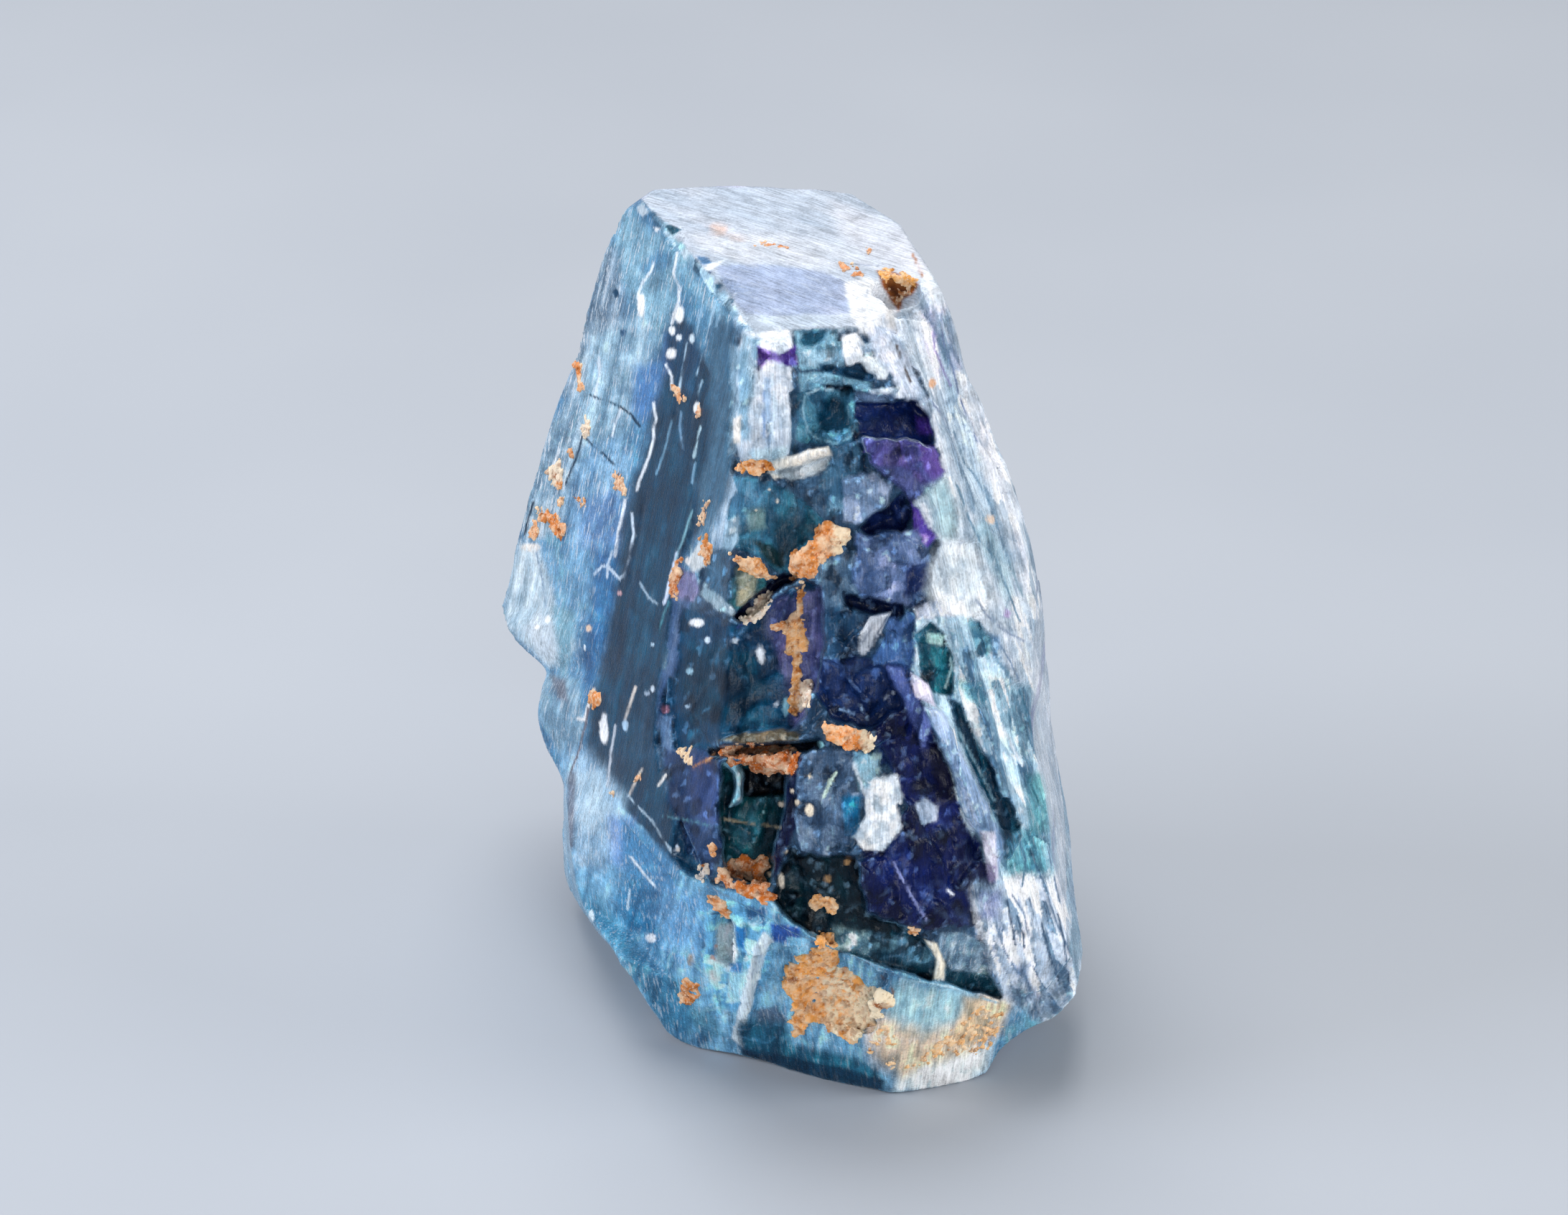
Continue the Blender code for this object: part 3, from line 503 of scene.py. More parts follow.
FOOT = {
    "foot": patch("786,1037 841,1092 939,1207 988,1234 1076,1256 1103,1289 1158,1316 1267,1343 1398,1392"
        " 1452,1428 1409,1450 1378,1491 1360,1512 1310,1527 1234,1523 1136,1505 1016,1469 934,1452 863,1349"
        " 808,1278 778,1212 778,1092",
        "#74B2DA", 6.5, mottle=0.9, depth=0, rough=0.0, wisps=0.5, brush=0.35),
    "flank_ice": patch("788,1048 821,1046 863,1103 874,1158 841,1212 803,1201 788,1136",
        "#9CC4E2", 28, mottle=0.6, brush=0.7),
    "flank_white": patch("803,1076 835,1076 852,1125 830,1158 808,1152", "#B4D2E6", 15, frost=0.4),
    "flank_brown": patch("791,1076 802,1076 799,1179 788,1190", "#6F6D7C", 6.5, mottle=0.5, cover=0.8),
    "flank_violet": patch("846,1136 885,1141 874,1212 852,1201", "#6A90CC", 17, cover=0.8),
    "flank_sky": patch("863,1136 928,1190 950,1223 917,1267 874,1223", "#5098CC", 17, mottle=0.4),
    "flank_deep": patch("874,1223 928,1234 945,1278 917,1310 874,1299 852,1256",
        "#307CAC", 28, mottle=0.8),
    "flank_teal": patch("803,1234 863,1278 917,1365 928,1431 874,1354 814,1278",
        "#4C92B8", 26, mottle=0.8),
    "front_sky": patch("928,1234 983,1245 988,1299 961,1354 928,1321 912,1278",
        "#78BAEC", 24, mottle=0.7),
    "front_deep": patch("912,1354 961,1365 972,1420 950,1447 912,1409", "#448CB4", 22, mottle=0.8),
    "bright_sky": patch("983,1267 1021,1256 1076,1272 1076,1343 1048,1409 999,1409 977,1343",
        "#74C4F4", 15, mottle=0.9, glints=0.6, style='shattered', rough=0.25, depth=-0.1, brush=0.1),
    "cyan_patch": patch("999,1289 1021,1283 1029,1327 1016,1354 996,1338",
        "#E8FFFF", 7.5, mottle=0.5, depth=0, rough=0.0),
    "cyan_low": patch("1016,1354 1048,1349 1046,1392 1010,1398", "#A8E4F8", 6.5, mottle=0.7),
    "blue_spot": patch("1024,1289 1040,1294 1037,1321 1026,1319", "#1084D0", 5.5),
    "blue_spot_low": patch("1016,1341 1035,1341 1032,1354 1018,1352", "#3888D0", 5.5),
    "violet_sky": patch("1037,1261 1068,1267 1065,1291 1043,1289",
        "#04306C", 7.5, mottle=0.5, cover=0.8),
    "violet_step": patch("1072,1286 1116,1293 1114,1315 1076,1313", "#2A5CB4", 6.5, mottle=0.5),
    "cyan_step": patch("1095,1306 1125,1308 1120,1328 1099,1326", "#88CCF0", 4.5, frost=0.4),
    "white_ridge": patch("1065,1299 1077,1310 1057,1365 1035,1447 1044,1465 1020,1444 1026,1409 1051,1321",
        "#E6F6FF", 3.5, depth=-0.4, frost=0.5, mottle=0.2, style='frosted'),
    "grey_spot": patch("1051,1406 1081,1400 1096,1420 1081,1435 1055,1428",
        "#54708C", 6.5, mottle=0.5),
    "teal_rim": patch("1026,1420 1092,1420 1103,1452 1158,1463 1223,1487 1234,1520 1136,1503 1037,1470",
        "#1C607E", 17, mottle=1.1, brush=0.3),
    "deep_rim": patch("1037,1458 1136,1480 1234,1505 1232,1524 1136,1505 1035,1472",
        "#083450", 6.5, mottle=0.5),
    "olive_rim": patch("961,1403 988,1409 1010,1441 988,1447 966,1425",
        "#5A9AB4", 8.5, mottle=0.7, cover=0.6),
    "right_top": patch("1245,1367 1310,1378 1398,1398 1392,1431 1343,1420 1289,1452 1234,1431",
        "#A0D0E0", 15, mottle=0.8, brush=0.25),
    "right_pale": patch("1256,1458 1376,1458 1378,1487 1354,1512 1299,1524 1245,1523",
        "#E2EEF0", 20, mottle=0.9, frost=0.4, brush=0.15),
    "stain_foot": patch("1197,1415 1234,1411 1289,1439 1334,1426 1354,1409 1378,1420 1354,1470 1310,1481"
        " 1256,1503 1214,1474", "#F0CCA0", 28, mottle=1.0, cover=0.75, frost=0.5, brush=0.1),
    "stain_corner": patch("1341,1391 1378,1385 1406,1400 1393,1439 1354,1461 1328,1452",
        "#F8D4A8", 20, mottle=0.8, cover=0.85, frost=0.5, brush=0.1),
    "undercut": patch("1168,1294 1272,1299 1378,1352 1396,1393 1316,1369 1256,1354 1163,1324",
        "#123E50", 4.5, depth=1.8, mottle=0.9, wisps=0.5, glints=1.0),
    "crumbs": patch("1160,1289 1212,1299 1278,1308 1345,1330 1378,1354 1310,1354 1234,1337 1166,1319",
        "#7FB0C2", 11, cover=0.45, mottle=1.2, glints=1.0, frost=0.5, style='shattered'),
    "glassy_bits": patch("1308,1299 1343,1297 1372,1317 1365,1352 1327,1350 1310,1321",
        "#88A8C0", 5.5, depth=1.0, mottle=1.2),
    "cream_crystal": patch("1286,1306 1304,1313 1319,1343 1315,1364 1299,1363 1304,1334",
        "#FAEFD8", 3.5, depth=0.3, frost=0.6, style='frosted'),
}

# The sections of the front in the order in which they are laid on, with their styles.
SECTIONS = (
    (LEFT_FACE, "cloudy"),
    (TOP_FACE, "smooth"),
    (BROKEN_FRONT, "shattered"),
    (RIGHT_SIDE, "splintered"),
    (FOOT, "cloudy"),
)

# Lines have their width in pixels and a colour; spots have a middle, how far they reach
# to the side and up and down, in pixels, and a colour.
LINES = (
    ("943,352 939,382 946,400 946,417 939,437 936,450", 3.5, "#E4EAF2"),
    ("910,368 907,378 895,393 887,415", 3.3, "#DCE6F0"),
    ("981,415 970,461", 2.2, "#8FB5D0"),
    ("996,420 988,459 981,491 970,522", 3.3, "#A6C8DF"),
    ("1006,420 998,454", 2.2, "#7FA6C2"),
    ("957,477 953,502 948,524 945,544", 2.4, "#B4D0E4"),
    ("926,508 935,524 935,541", 3.3, "#E0E8F2"),
    ("977,530 970,549", 2.2, "#9CC0D8"),
    ("911,562 915,584 910,595 910,612 904,633 897,655 887,682", 3.9, "#E2E9F2"),
    ("975,595 969,614 966,637", 4.8, "#BEE0EE"),
    ("968,646 965,672", 2.4, "#7FA8C4"),
    ("949,573 946,595 950,625", 2.0, "#6F93B2"),
    ("937,584 923,633 915,661", 2.0, "#6F98B4"),
    ("871,696 866,726 863,734 856,773", 4.6, "#E6ECF4"),
    ("880,715 883,743 877,770 871,797 863,807 846,788 838,788 828,799", 3.1, "#C9DAEC"),
    ("852,768 846,786 845,804", 2.2, "#C4D6EA"),
    ("853,661 841,710 834,723", 2.2, "#B4CCE6"),
    ("863,570 852,607", 2.4, "#D8E2EE"),
    ("834,497 835,524 827,555", 2.4, "#D5E0EC"),
    ("779,626 768,657", 2.4, "#E4EAF2"),
    ("943,770 935,797 928,830 924,839", 5.5, "#CBD8F0"),
    ("931,836 917,880", 2.2, "#4A8494"),
    ("964,712 950,753 941,778", 2.0, "#7FB0C0"),
    ("890,810 904,832 915,839", 1.7, "#9DB6CA"),
    ("886,957 877,983 870,1002", 3.5, "#D8CFC8"),
    ("857,1010 850,1048 846,1094", 2.4, "#C4CCD8"),
    ("827,961 814,1002 805,1001", 5.5, "#E8E9EC"),
    ("820,986 808,1043 795,1076", 2.8, "#6B6670"),
    ("895,1070 887,1083 876,1107", 2.4, "#D9CFC6"),
    ("928,1078 917,1093", 3.3, "#E6E4E2"),
    ("874,1108 890,1125 909,1144 919,1162 939,1190", 1.7, "#A9C0D2"),
    ("923,1136 966,1144 1016,1158", 1.5, "#4F7A8C"),
    # A painted highlight along the foot.
    ("879,1194 904,1225 919,1241", 2.6, "#DCE8F2"),
    ("915,1221 926,1225", 2.6, "#E6EEF4"),
    ("877,1239 874,1267", 2.0, "#C8DCEA"),
    ("821,551 835,555 850,560 863,567", 2.8, "#1E4058"),
    ("863,567 878,577 891,593", 3.3, "#12283E"),
    ("1123,548 1118,570 1125,597 1140,614", 2.4, "#8FBCD0"),
    ("1125,548 1142,542 1164,544", 2.6, "#A4C8DA"),
    ("1140,612 1164,618 1184,609 1192,590", 2.2, "#7FB0C6"),
    ("810,606 821,618 841,633 854,646", 3.1, "#1A344C"),
    ("810,607 803,637 788,673", 2.8, "#20384F"),
    ("796,686 792,721 785,748", 3.5, "#14283C"),
    ("743,699 736,721 731,745", 3.3, "#182E44"),
    ("748,770 756,808 761,846", 1.7, "#8FA6BC"),
    ("1065,546 1063,579 1065,614", 2.2, "#7C9CC8"),
    ("1076,513 1078,568 1075,622", 1.7, "#C9DDEA"),
    ("1248,480 1256,505 1269,532", 3.5, "#544944"),
    ("1310,437 1316,480 1327,513 1334,546 1349,584 1361,614", 2.2, "#6E7FA2"),
    ("1299,459 1303,487 1314,513 1324,537", 2.0, "#8078A8"),
    ("1327,598 1343,644 1360,666 1378,699", 2.4, "#5C7E98"),
    ("1332,675 1349,721 1365,753 1387,778 1404,821 1420,865", 2.4, "#5C8098"),
    ("1294,555 1305,570 1316,585", 2.2, "#7F8CA8"),
    ("1360,835 1372,854 1393,874 1420,890 1435,899", 2.0, "#8292AA"),
    ("1392,895 1409,923 1420,948", 2.2, "#6F86A0"),
    ("1401,764 1411,793 1424,830", 1.7, "#8AA6B6"),
    ("1343,983 1356,1016 1372,1045", 3.7, "#E4EAF2"),
    ("1374,977 1400,1021 1426,1067", 3.9, "#DCE6F0"),
    ("1334,1016 1361,1065 1385,1114", 2.0, "#7FA4B4"),
    ("1245,1201 1267,1243 1291,1280", 2.2, "#8E98D0"),
    ("1310,1234 1328,1246", 3.3, "#E8ECF8"),
    ("1234,972 1241,965 1249,964", 3.3, "#C4D2E8"),
    ("1171,988 1190,994", 3.3, "#8CB0DC"),
    ("1199,983 1208,1000", 3.3, "#9CBCE0"),
    ("1183,1054 1195,1076 1204,1103", 5.5, "#DDEAF6"),
    ("1164,1076 1155,1092 1147,1109", 5.5, "#D2EADB"),
    ("1010,1141 1048,1147 1087,1152", 2.8, "#A89A80"),
    ("966,1068 988,1057 1002,1043", 3.3, "#B07C50"),
    ("1228,1360 1243,1378 1245,1389", 2.0, "#7A4A28"),
    ("1105,824 1125,874 1136,917", 1.7, "#2A3468"),
    ("1026,874 1081,841", 1.7, "#33467C"),
    ("1114,983 1127,950", 1.7, "#2F4A7C"),
    ("1192,367 1223,369", 1.7, "#8C94A6"),
    ("1272,355 1280,371 1284,384", 2.8, "#A5714E"),
    ("1409,1245 1426,1272 1435,1310 1444,1343", 1.7, "#5C7490"),
    ("1387,1289 1402,1327 1422,1365", 1.7, "#6C84A0"),
    ("1458,1245 1474,1289 1492,1332", 2.0, "#5C7490"),
    ("1256,1365 1310,1372 1392,1398", 3.3, "#9CC6D8"),
    ("1201,895 1223,858", 2.2, "#7C8698"),
    ("1210,902 1234,860", 2.8, "#5C6678"),
    ("1197,887 1212,860", 2.0, "#E4E8EE"),
    ("1402,1254 1409,1286 1415,1315", 2.4, "#3C546E"),
    ("1417,1275 1425,1302 1428,1326 1435,1343", 2.8, "#34506C"),
    ("1433,1251 1439,1273 1446,1293", 2.2, "#4A627C"),
    ("1450,1284 1459,1315 1464,1339 1474,1365", 2.8, "#34506C"),
    ("1474,1273 1481,1306 1485,1337 1489,1367", 2.4, "#405A76"),
    ("1492,1295 1497,1326 1500,1354", 2.0, "#4A647E"),
    ("1439,1345 1450,1372 1457,1398", 2.0, "#526C88"),
    ("1459,1179 1468,1223 1476,1256", 2.4, "#5A7490"),
    ("1420,1168 1428,1197 1424,1234", 2.6, "#4A7088"),
    ("1361,863 1369,880 1365,900", 2.8, "#1E4860"),
    ("1387,961 1404,988 1411,1016", 2.6, "#2C5A74"),
    ("1420,961 1433,999 1444,1037", 2.6, "#3C6880"),
    ("1319,895 1326,928 1317,957", 2.8, "#C8ECF0"),
    ("1437,1092 1450,1125 1452,1153", 2.6, "#2E6474"),
)
SPOTS = (
    (859, 407, 4.5, 6.5, "#1E4260"), (866, 463, 4.5, 4.5, "#35597A"), (894, 423, 5.5, 15, "#EDEEF0"),
    (946, 438, 6.5, 11, "#E8ECF0"), (936, 459, 4.5, 6.5, "#E8ECF0"), (945, 468, 4, 4, "#DDE4EC"),
    (935, 492, 6.5, 8.5, "#EEEFF2"), (964, 470, 3.5, 5.5, "#C8D8E4"), (970, 567, 4.5, 7.5, "#E8EAEE"),
    (842, 1013, 6.5, 19, "#EEF0F4"), (870, 1011, 4.5, 8.5, "#A6C4DE"), (902, 965, 4.5, 3.5, "#9DAFC4"),
    (910, 959, 2, 4.5, "#C4D2E0"), (943, 1182, 2.5, 6.5, "#C6D6E8"), (970, 867, 11, 6.5, "#EDF0F4"),
    (1059, 912, 5.5, 11, "#E4EAF2"), (985, 892, 3.5, 4.5, "#C4D4E4"), (1024, 892, 3.5, 3.5, "#C4D4E4"),
    (1081, 981, 3.5, 3.5, "#C8D6E6"), (956, 983, 3.5, 2, "#9DB6CC"), (928, 988, 4.5, 4.5, "#A5788E"),
    (961, 934, 4.5, 3.5, "#8FB4C8"), (863, 827, 3.5, 3.5, "#C29AA0"), (909, 898, 2.5, 2.5, "#A9C4D8"),
    (815, 902, 2, 4.5, "#E0EAF2"), (749, 874, 3.5, 3.5, "#F0F2F5"), (764, 863, 3.5, 4.5, "#F0F4F8"),
    (1128, 1130, 5.5, 7.5, "#F0E2CC"), (1089, 1228, 4, 10, "#F2E6D4"), (1111, 1119, 3.5, 3.5, "#E0D0B8"),
    (1103, 1103, 2.5, 2.5, "#D8C8B4"), (1096, 1187, 2.5, 2.5, "#E0D0B8"), (1072, 1218, 2.5, 3.5, "#E0D0B8"),
    (1128, 1082, 2.5, 2.5, "#E6D8C0"), (1087, 1120, 4.5, 3.5, "#EADBC6"), (1063, 1131, 2.5, 2.5, "#A6DCE4"),
    (1179, 1201, 4.5, 3.5, "#B08A60"), (1152, 1223, 4.5, 4.5, "#A88660"), (1143, 1037, 4.5, 3.5, "#9EDCE8"),
    (1072, 681, 2.5, 2.5, "#F0E6D6"), (1083, 697, 2.5, 2.5, "#F0E6D6"), (1056, 710, 2.5, 2.5, "#EADFCB"),
    (1095, 985, 4.5, 13, "#8CC6DC"), (1378, 723, 6.5, 5.5, "#E6CDB8"), (1299, 532, 5.5, 7.5, "#D9A884"),
    (957, 781, 3.5, 4.5, "#DEDCDA"), (740, 764, 13, 5.5, "#E6E0DA"), (945, 1183, 2, 3.5, "#D8CFC6"),
    (905, 1307, 7.5, 5.5, "#E2E6EC"), (961, 1338, 5.5, 10, "#A8A098"), (996, 1318, 3.5, 3.5, "#D0A898"),
    (992, 1334, 3.5, 3.5, "#C8A8A0"), (820, 876, 4.5, 4.5, "#D8BCA8"), (1403, 854, 5.5, 5.5, "#A898C0"),
    (824, 1275, 3.5, 8.5, "#CFE0EA"),
)

# Clay: the solid that each crust stands for, then its beds of lumps. A bed has an outline,
# its colour, the size of a lump in millimetres, how many lie in it and, where they lie in
# clots, how much so.
CLAY = {
    "limonite_foot_crust": (
        ("1139,1310 1155,1297 1161,1317 1168,1343 1201,1370 1190,1450 1158,1433 1125,1420 1112,1452"
            " 1097,1431 1108,1403 1087,1376 1097,1343 1119,1327", "#FFB05C", 0.34, 420),
        ("1155,1345 1168,1343 1207,1378 1245,1382 1238,1396 1210,1425 1190,1450 1160,1433 1144,1387",
            "#FFEBC8", 0.36, 420),
        ("1214,1420 1256,1441 1289,1459 1332,1431 1365,1396 1400,1398 1398,1431 1370,1469 1310,1470"
            " 1256,1496 1228,1481 1207,1474", "#FFC88A", 0.13, 620, 1.0),
    ),
    "limonite_ledge_lens": (
        ("999,1046 1032,1034 1076,1037 1116,1046 1107,1081 1059,1075 1016,1059", "#C8661C", 0.3, 260),
        ("948,1043 961,1043 965,1061 952,1064", "#E9C8A2", 0.22, 30),
    ),
    "limonite_ledge_block": (
        ("1147,1011 1179,1013 1203,1020 1201,1044 1179,1043 1155,1026", "#FF9E4A", 0.28, 150),
        ("1197,1018 1219,1022 1221,1033 1212,1045 1199,1043", "#FFECCB", 0.24, 60),
    ),
    "limonite_vein_upper": (
        ("1100,793 1101,773 1130,760 1147,725 1164,737 1164,764 1141,781 1123,806 1107,802",
            "#E88F42", 0.3, 300),
        ("1160,734 1179,733 1186,745 1168,769 1155,771", "#FFE4BE", 0.26, 90),
        ("1018,771 1035,778 1057,775 1070,799 1088,804 1065,807 1029,790", "#E0944E", 0.2, 160),
    ),
    "limonite_seam": (
        ("1112,808 1120,810 1118,865 1109,865", "#DC9450", 0.16, 60),
        ("1068,874 1092,863 1116,847 1116,856 1092,871 1072,880", "#C87B3C", 0.16, 60),
        ("1092,869 1116,869 1125,887 1118,909 1099,904", "#FFBA74", 0.26, 120),
        ("1103,909 1116,915 1112,961 1101,957", "#E09A54", 0.18, 70),
        ("1112,946 1131,950 1131,983 1116,992", "#FFEEDC", 0.24, 90),
        ("1099,961 1112,954 1112,998 1101,996", "#D8924E", 0.18, 50),
        ("1031,869 1055,834 1075,820 1077,835 1055,865", "#FFF0E0", 0.2, 110),
    ),
    "limonite_wedge_lower": (
        ("996,1223 1022,1196 1035,1190 1055,1201 1068,1186 1066,1228 1077,1247 1070,1256 1032,1245",
            "#C86A1C", 0.28, 240),
        ("985,1245 998,1245 1018,1265 1016,1278 1000,1273", "#D98B50", 0.2, 70),
        ("970,1206 983,1201 989,1216 976,1232", "#D9CFC8", 0.18, 40),
        ("985,1177 998,1175 998,1192 987,1192", "#E3A06A", 0.2, 30),
        ("1125,1249 1147,1245 1166,1258 1164,1275 1142,1271 1131,1265", "#FFBC78", 0.2, 80),
        ("1140,1297 1162,1293 1164,1319 1147,1321", "#FFB468", 0.2, 60),
    ),
    "limonite_left_rim": (
        ("981,695 989,699 978,734 971,732", "#C9A184", 0.16, 50),
        ("975,747 985,745 993,767 985,786 978,782", "#D1803C", 0.18, 80),
        ("941,778 952,780 943,834 933,832", "#C8743A", 0.18, 90),
        ("1031,642 1057,639 1079,654 1055,660 1033,656", "#E8923C", 0.24, 110),
    ),
    "limonite_top_pocket": (
        ("1221,378 1236,373 1256,379 1280,393 1273,400 1251,395 1230,389", "#E8A04A", 0.15, 170),
        ("1236,400 1271,402 1256,417 1251,432 1246,422", "#A4622C", 0.1, 60, 0.6),
    ),
    "limonite_flecks": (
        ("1162,369 1185,366 1197,373 1206,383 1190,388 1175,381", "#D98A55", 0.14, 60),
        ("1046,337 1070,335 1099,346 1070,342 1051,342", "#DB8F60", 0.12, 50),
        ("1199,343 1216,348 1210,355", "#C87F50", 0.12, 20),
        ("799,505 811,509 811,522 806,526", "#DB8340", 0.2, 40),
        ("805,529 814,533 815,544 808,542", "#E0A070", 0.16, 24),
        ("809,590 817,581 823,594 821,612 812,607", "#EFDDC8", 0.18, 40),
        ("791,622 798,625 800,638 794,636", "#DB8A50", 0.16, 24),
        ("761,655 778,642 784,655 784,679 770,679", "#F0DCC4", 0.22, 90),
        ("776,668 784,668 784,684 779,684", "#E39452", 0.16, 24),
        ("778,695 786,692 786,705 779,705", "#E8B890", 0.15, 20),
        ("797,692 815,697 817,705 806,702", "#DC8A4C", 0.15, 30),
        ("756,719 767,714 788,729 788,745 780,749 768,738", "#DE8540", 0.22, 110),
        ("746,704 753,708 760,721 753,723", "#E9BC94", 0.14, 20),
        ("739,729 751,723 753,738 743,753 736,749", "#E9A878", 0.2, 60),
        ("854,657 863,657 874,681 871,690 860,681", "#E4AE88", 0.18, 60),
        ("937,539 950,544 957,555 948,561 939,550", "#E0A274", 0.17, 44),
        ("970,565 978,568 976,581 970,579", "#D08A64", 0.15, 24),
        ("821,961 834,961 839,974 832,987 821,983", "#E08A44", 0.2, 70),
        ("883,1077 893,1077 892,1088 885,1089", "#E0A47A", 0.15, 20),
        ("850,1101 858,1101 856,1112 851,1111", "#DDB494", 0.14, 16),
        ("953,1361 976,1372 966,1402 948,1398", "#CF7A30", 0.2, 120),
        ("1267,1289 1280,1290 1278,1301 1268,1299", "#D88A48", 0.16, 20),
    ),
}
LOOSE_CLAY = "limonite_flecks"

# How finely the clay is worked, in millimetres, and how many triangles a crust keeps.
CLAY_VOXEL = 0.085
CLAY_TRIANGLES = 40000

# A lump's radius as a share of its bed's size, from and up to, and how strongly small ones
# are favoured; how uneven and how flattened it is; and how far it sits in or off the stone.
LUMP_SIZE = (0.35, 1.0)
LUMP_FAVOUR = 1.3
LUMP_UNEVEN = 0.25
LUMP_FLAT = 0.4
LUMP_SEAT = (-0.2, 0.2)

# Over how many pixels the lumps get fewer at the edge of a bed, and how far past it they
# may lie; how large clots are, in millimetres, and how bare a fully patchy bed gets.
BED_FADE, BED_PAST = 7.6, 2.7
CLOT_SIZE = 0.9
CLOT_GAP, CLOT_FLOOR = 0.45, 0.6

# A lump of clay is the colour of its bed, that colour darker, that colour with cream, or
# brown, in these shares. Hollows between lumps get painted shade: they are darkened by this tint.
CLAY_SHARES = (0.52, 0.16, 0.22, 0.10)
CLAY_DARKER = 0.75
CREAM, BROWN = colour("#F6E2C2"), colour("#9A541F")
CLAY_HOLLOW_SHADE = np.array((0.45, 0.32, 0.25))

# The crumbs that are strewn on the clay: how many on a square millimetre, and their radii
# in millimetres.
CRUMB_SHARE = 7.0
CRUMB_SIZE = (0.04, 0.11)


def added(name, data):
    """A new object in the scene, for a mesh, a lamp or a camera."""
    obj = bpy.data.objects.new(name, data)
    bpy.context.scene.collection.objects.link(obj)
    return obj


def object_from(name, points, faces):
    mesh = bpy.data.meshes.new(name)
    mesh.from_pydata((np.asarray(points) * MM).tolist(), [], faces)
    return added(name, mesh)


def places(mesh):
    """The points of a mesh, in millimetres."""
    flat = np.empty(len(mesh.vertices) * 3, np.float32)
    mesh.vertices.foreach_get("co", flat)
    return flat.reshape(-1, 3).astype(float) / MM


def move_to(mesh, points):
    mesh.vertices.foreach_set("co", (points * MM).astype(np.float32).ravel())
    mesh.update()


def directions(mesh):
    flat = np.empty(len(mesh.vertices) * 3, np.float32)
    mesh.vertex_normals.foreach_get("vector", flat)
    return flat.reshape(-1, 3).astype(float)


def ray_tree(mesh):
    """A mesh as something that rays can meet, in millimetres."""
    return BVHTree.FromPolygons(places(mesh).tolist(), [tuple(p.vertices) for p in mesh.polygons])


# The kinds of attribute that are used: what their data is called, and how many numbers a
# point has.
KINDS = {"FLOAT": ("value", 1), "FLOAT_VECTOR": ("vector", 3), "FLOAT_COLOR": ("color", 4)}


def write(mesh, name, kind, values):
    """Gives each point of a mesh a value, a direction or a colour under a name."""
    layer = mesh.attributes.new(name, kind, "POINT")
    layer.data.foreach_set(KINDS[kind][0], np.asarray(values, np.float32).ravel())


def written(mesh, name):
    """What the points of a mesh hold under a name."""
    layer = mesh.attributes[name]
    key, width = KINDS[layer.data_type]
    flat = np.empty(len(mesh.vertices) * width, np.float32)
    layer.data.foreach_get(key, flat)
    return flat.reshape(-1, width).astype(float)


def write_paint(mesh, paint):
    write(mesh, "paint", "FLOAT_COLOR", np.column_stack((paint, np.ones(len(paint)))))


def dress(obj, material):
    obj.data.materials.clear()
    obj.data.materials.append(material)


def applied(obj):
    """Turns an object with its modifiers into a plain mesh."""
    view = bpy.context.evaluated_depsgraph_get()
    mesh = bpy.data.meshes.new_from_object(obj.evaluated_get(view))
    obj.modifiers.clear()
    old, obj.data = obj.data, mesh
    bpy.data.meshes.remove(old)
    mesh.name = obj.name
    return obj


def remeshed(obj, voxel):
    mod = obj.modifiers.new("remesh", "REMESH")
    mod.mode = "VOXEL"
    mod.voxel_size = voxel * MM
    return applied(obj)


def thinned(obj, triangles, where=None):
    """Collapses edges down to a number of triangles, all over or only `where` a point may go."""
    mesh = obj.data
    mesh.calc_loop_triangles()
    if where is None:
        where = np.ones(len(mesh.vertices), bool)
    corners = np.empty(len(mesh.loop_triangles) * 3, np.int32)
    mesh.loop_triangles.foreach_get("vertices", corners)
    spared = np.count_nonzero(~where[corners.reshape(-1, 3)].any(axis=1))
    mod = obj.modifiers.new("thin", "DECIMATE")
    mod.ratio = min((spared + triangles) / len(mesh.loop_triangles), 1.0)
    mod.use_collapse_triangulate = True
    group = obj.vertex_groups.new(name="may_go")
    group.add(np.nonzero(where)[0].tolist(), 1.0, "REPLACE")
    mod.vertex_group = group.name
    applied(obj)
    obj.vertex_groups.clear()
    return obj


def thinned_by_view(obj, facing):
    """Thins the far sides more than what the picture shows, and the edges of colours least."""
    mesh = obj.data
    lift = directions(mesh) * (PALE_LIFT * (written(mesh, "paint")[:, :3] @ LUMINANCE)[:, None])
    write(mesh, "lift", "FLOAT_VECTOR", lift)
    write(mesh, "near", "FLOAT", facing > 0)
    move_to(mesh, places(mesh) + lift)
    thinned(obj, FAR_TRIANGLES, facing <= 0)
    thinned(obj, NEAR_TRIANGLES, written(obj.data, "near")[:, 0] > 0.5)
    mesh = obj.data
    move_to(mesh, places(mesh) - written(mesh, "lift"))
    for name in ("lift", "near"):
        mesh.attributes.remove(mesh.attributes[name])


# A point faces the camera when it does so by more than this share. To find what hides it, a
# ray starts off the skin, along its normal and towards the eye, and runs as far as the
# crystal reaches, all in millimetres.
LEAST_FACING = 0.02
OFF_SKIN, OFF_POINT = 0.12, 0.25
RAY_REACH = 60.0


def seen(mesh, points, normals):
    """How squarely each point faces the camera, and 0 where it is hidden."""
    tree = ray_tree(mesh)
    to_eye = EYE - points
    to_eye /= np.linalg.norm(to_eye, axis=1, keepdims=True)
    facing = np.einsum("ij,ij->i", normals, to_eye)
    for i in np.nonzero(facing > LEAST_FACING)[0]:
        start = points[i] + normals[i] * OFF_SKIN + to_eye[i] * OFF_POINT
        if tree.ray_cast(Vector(start), Vector(to_eye[i]), RAY_REACH)[0] is not None:
            facing[i] = 0
    return np.clip(facing, 0, 1)


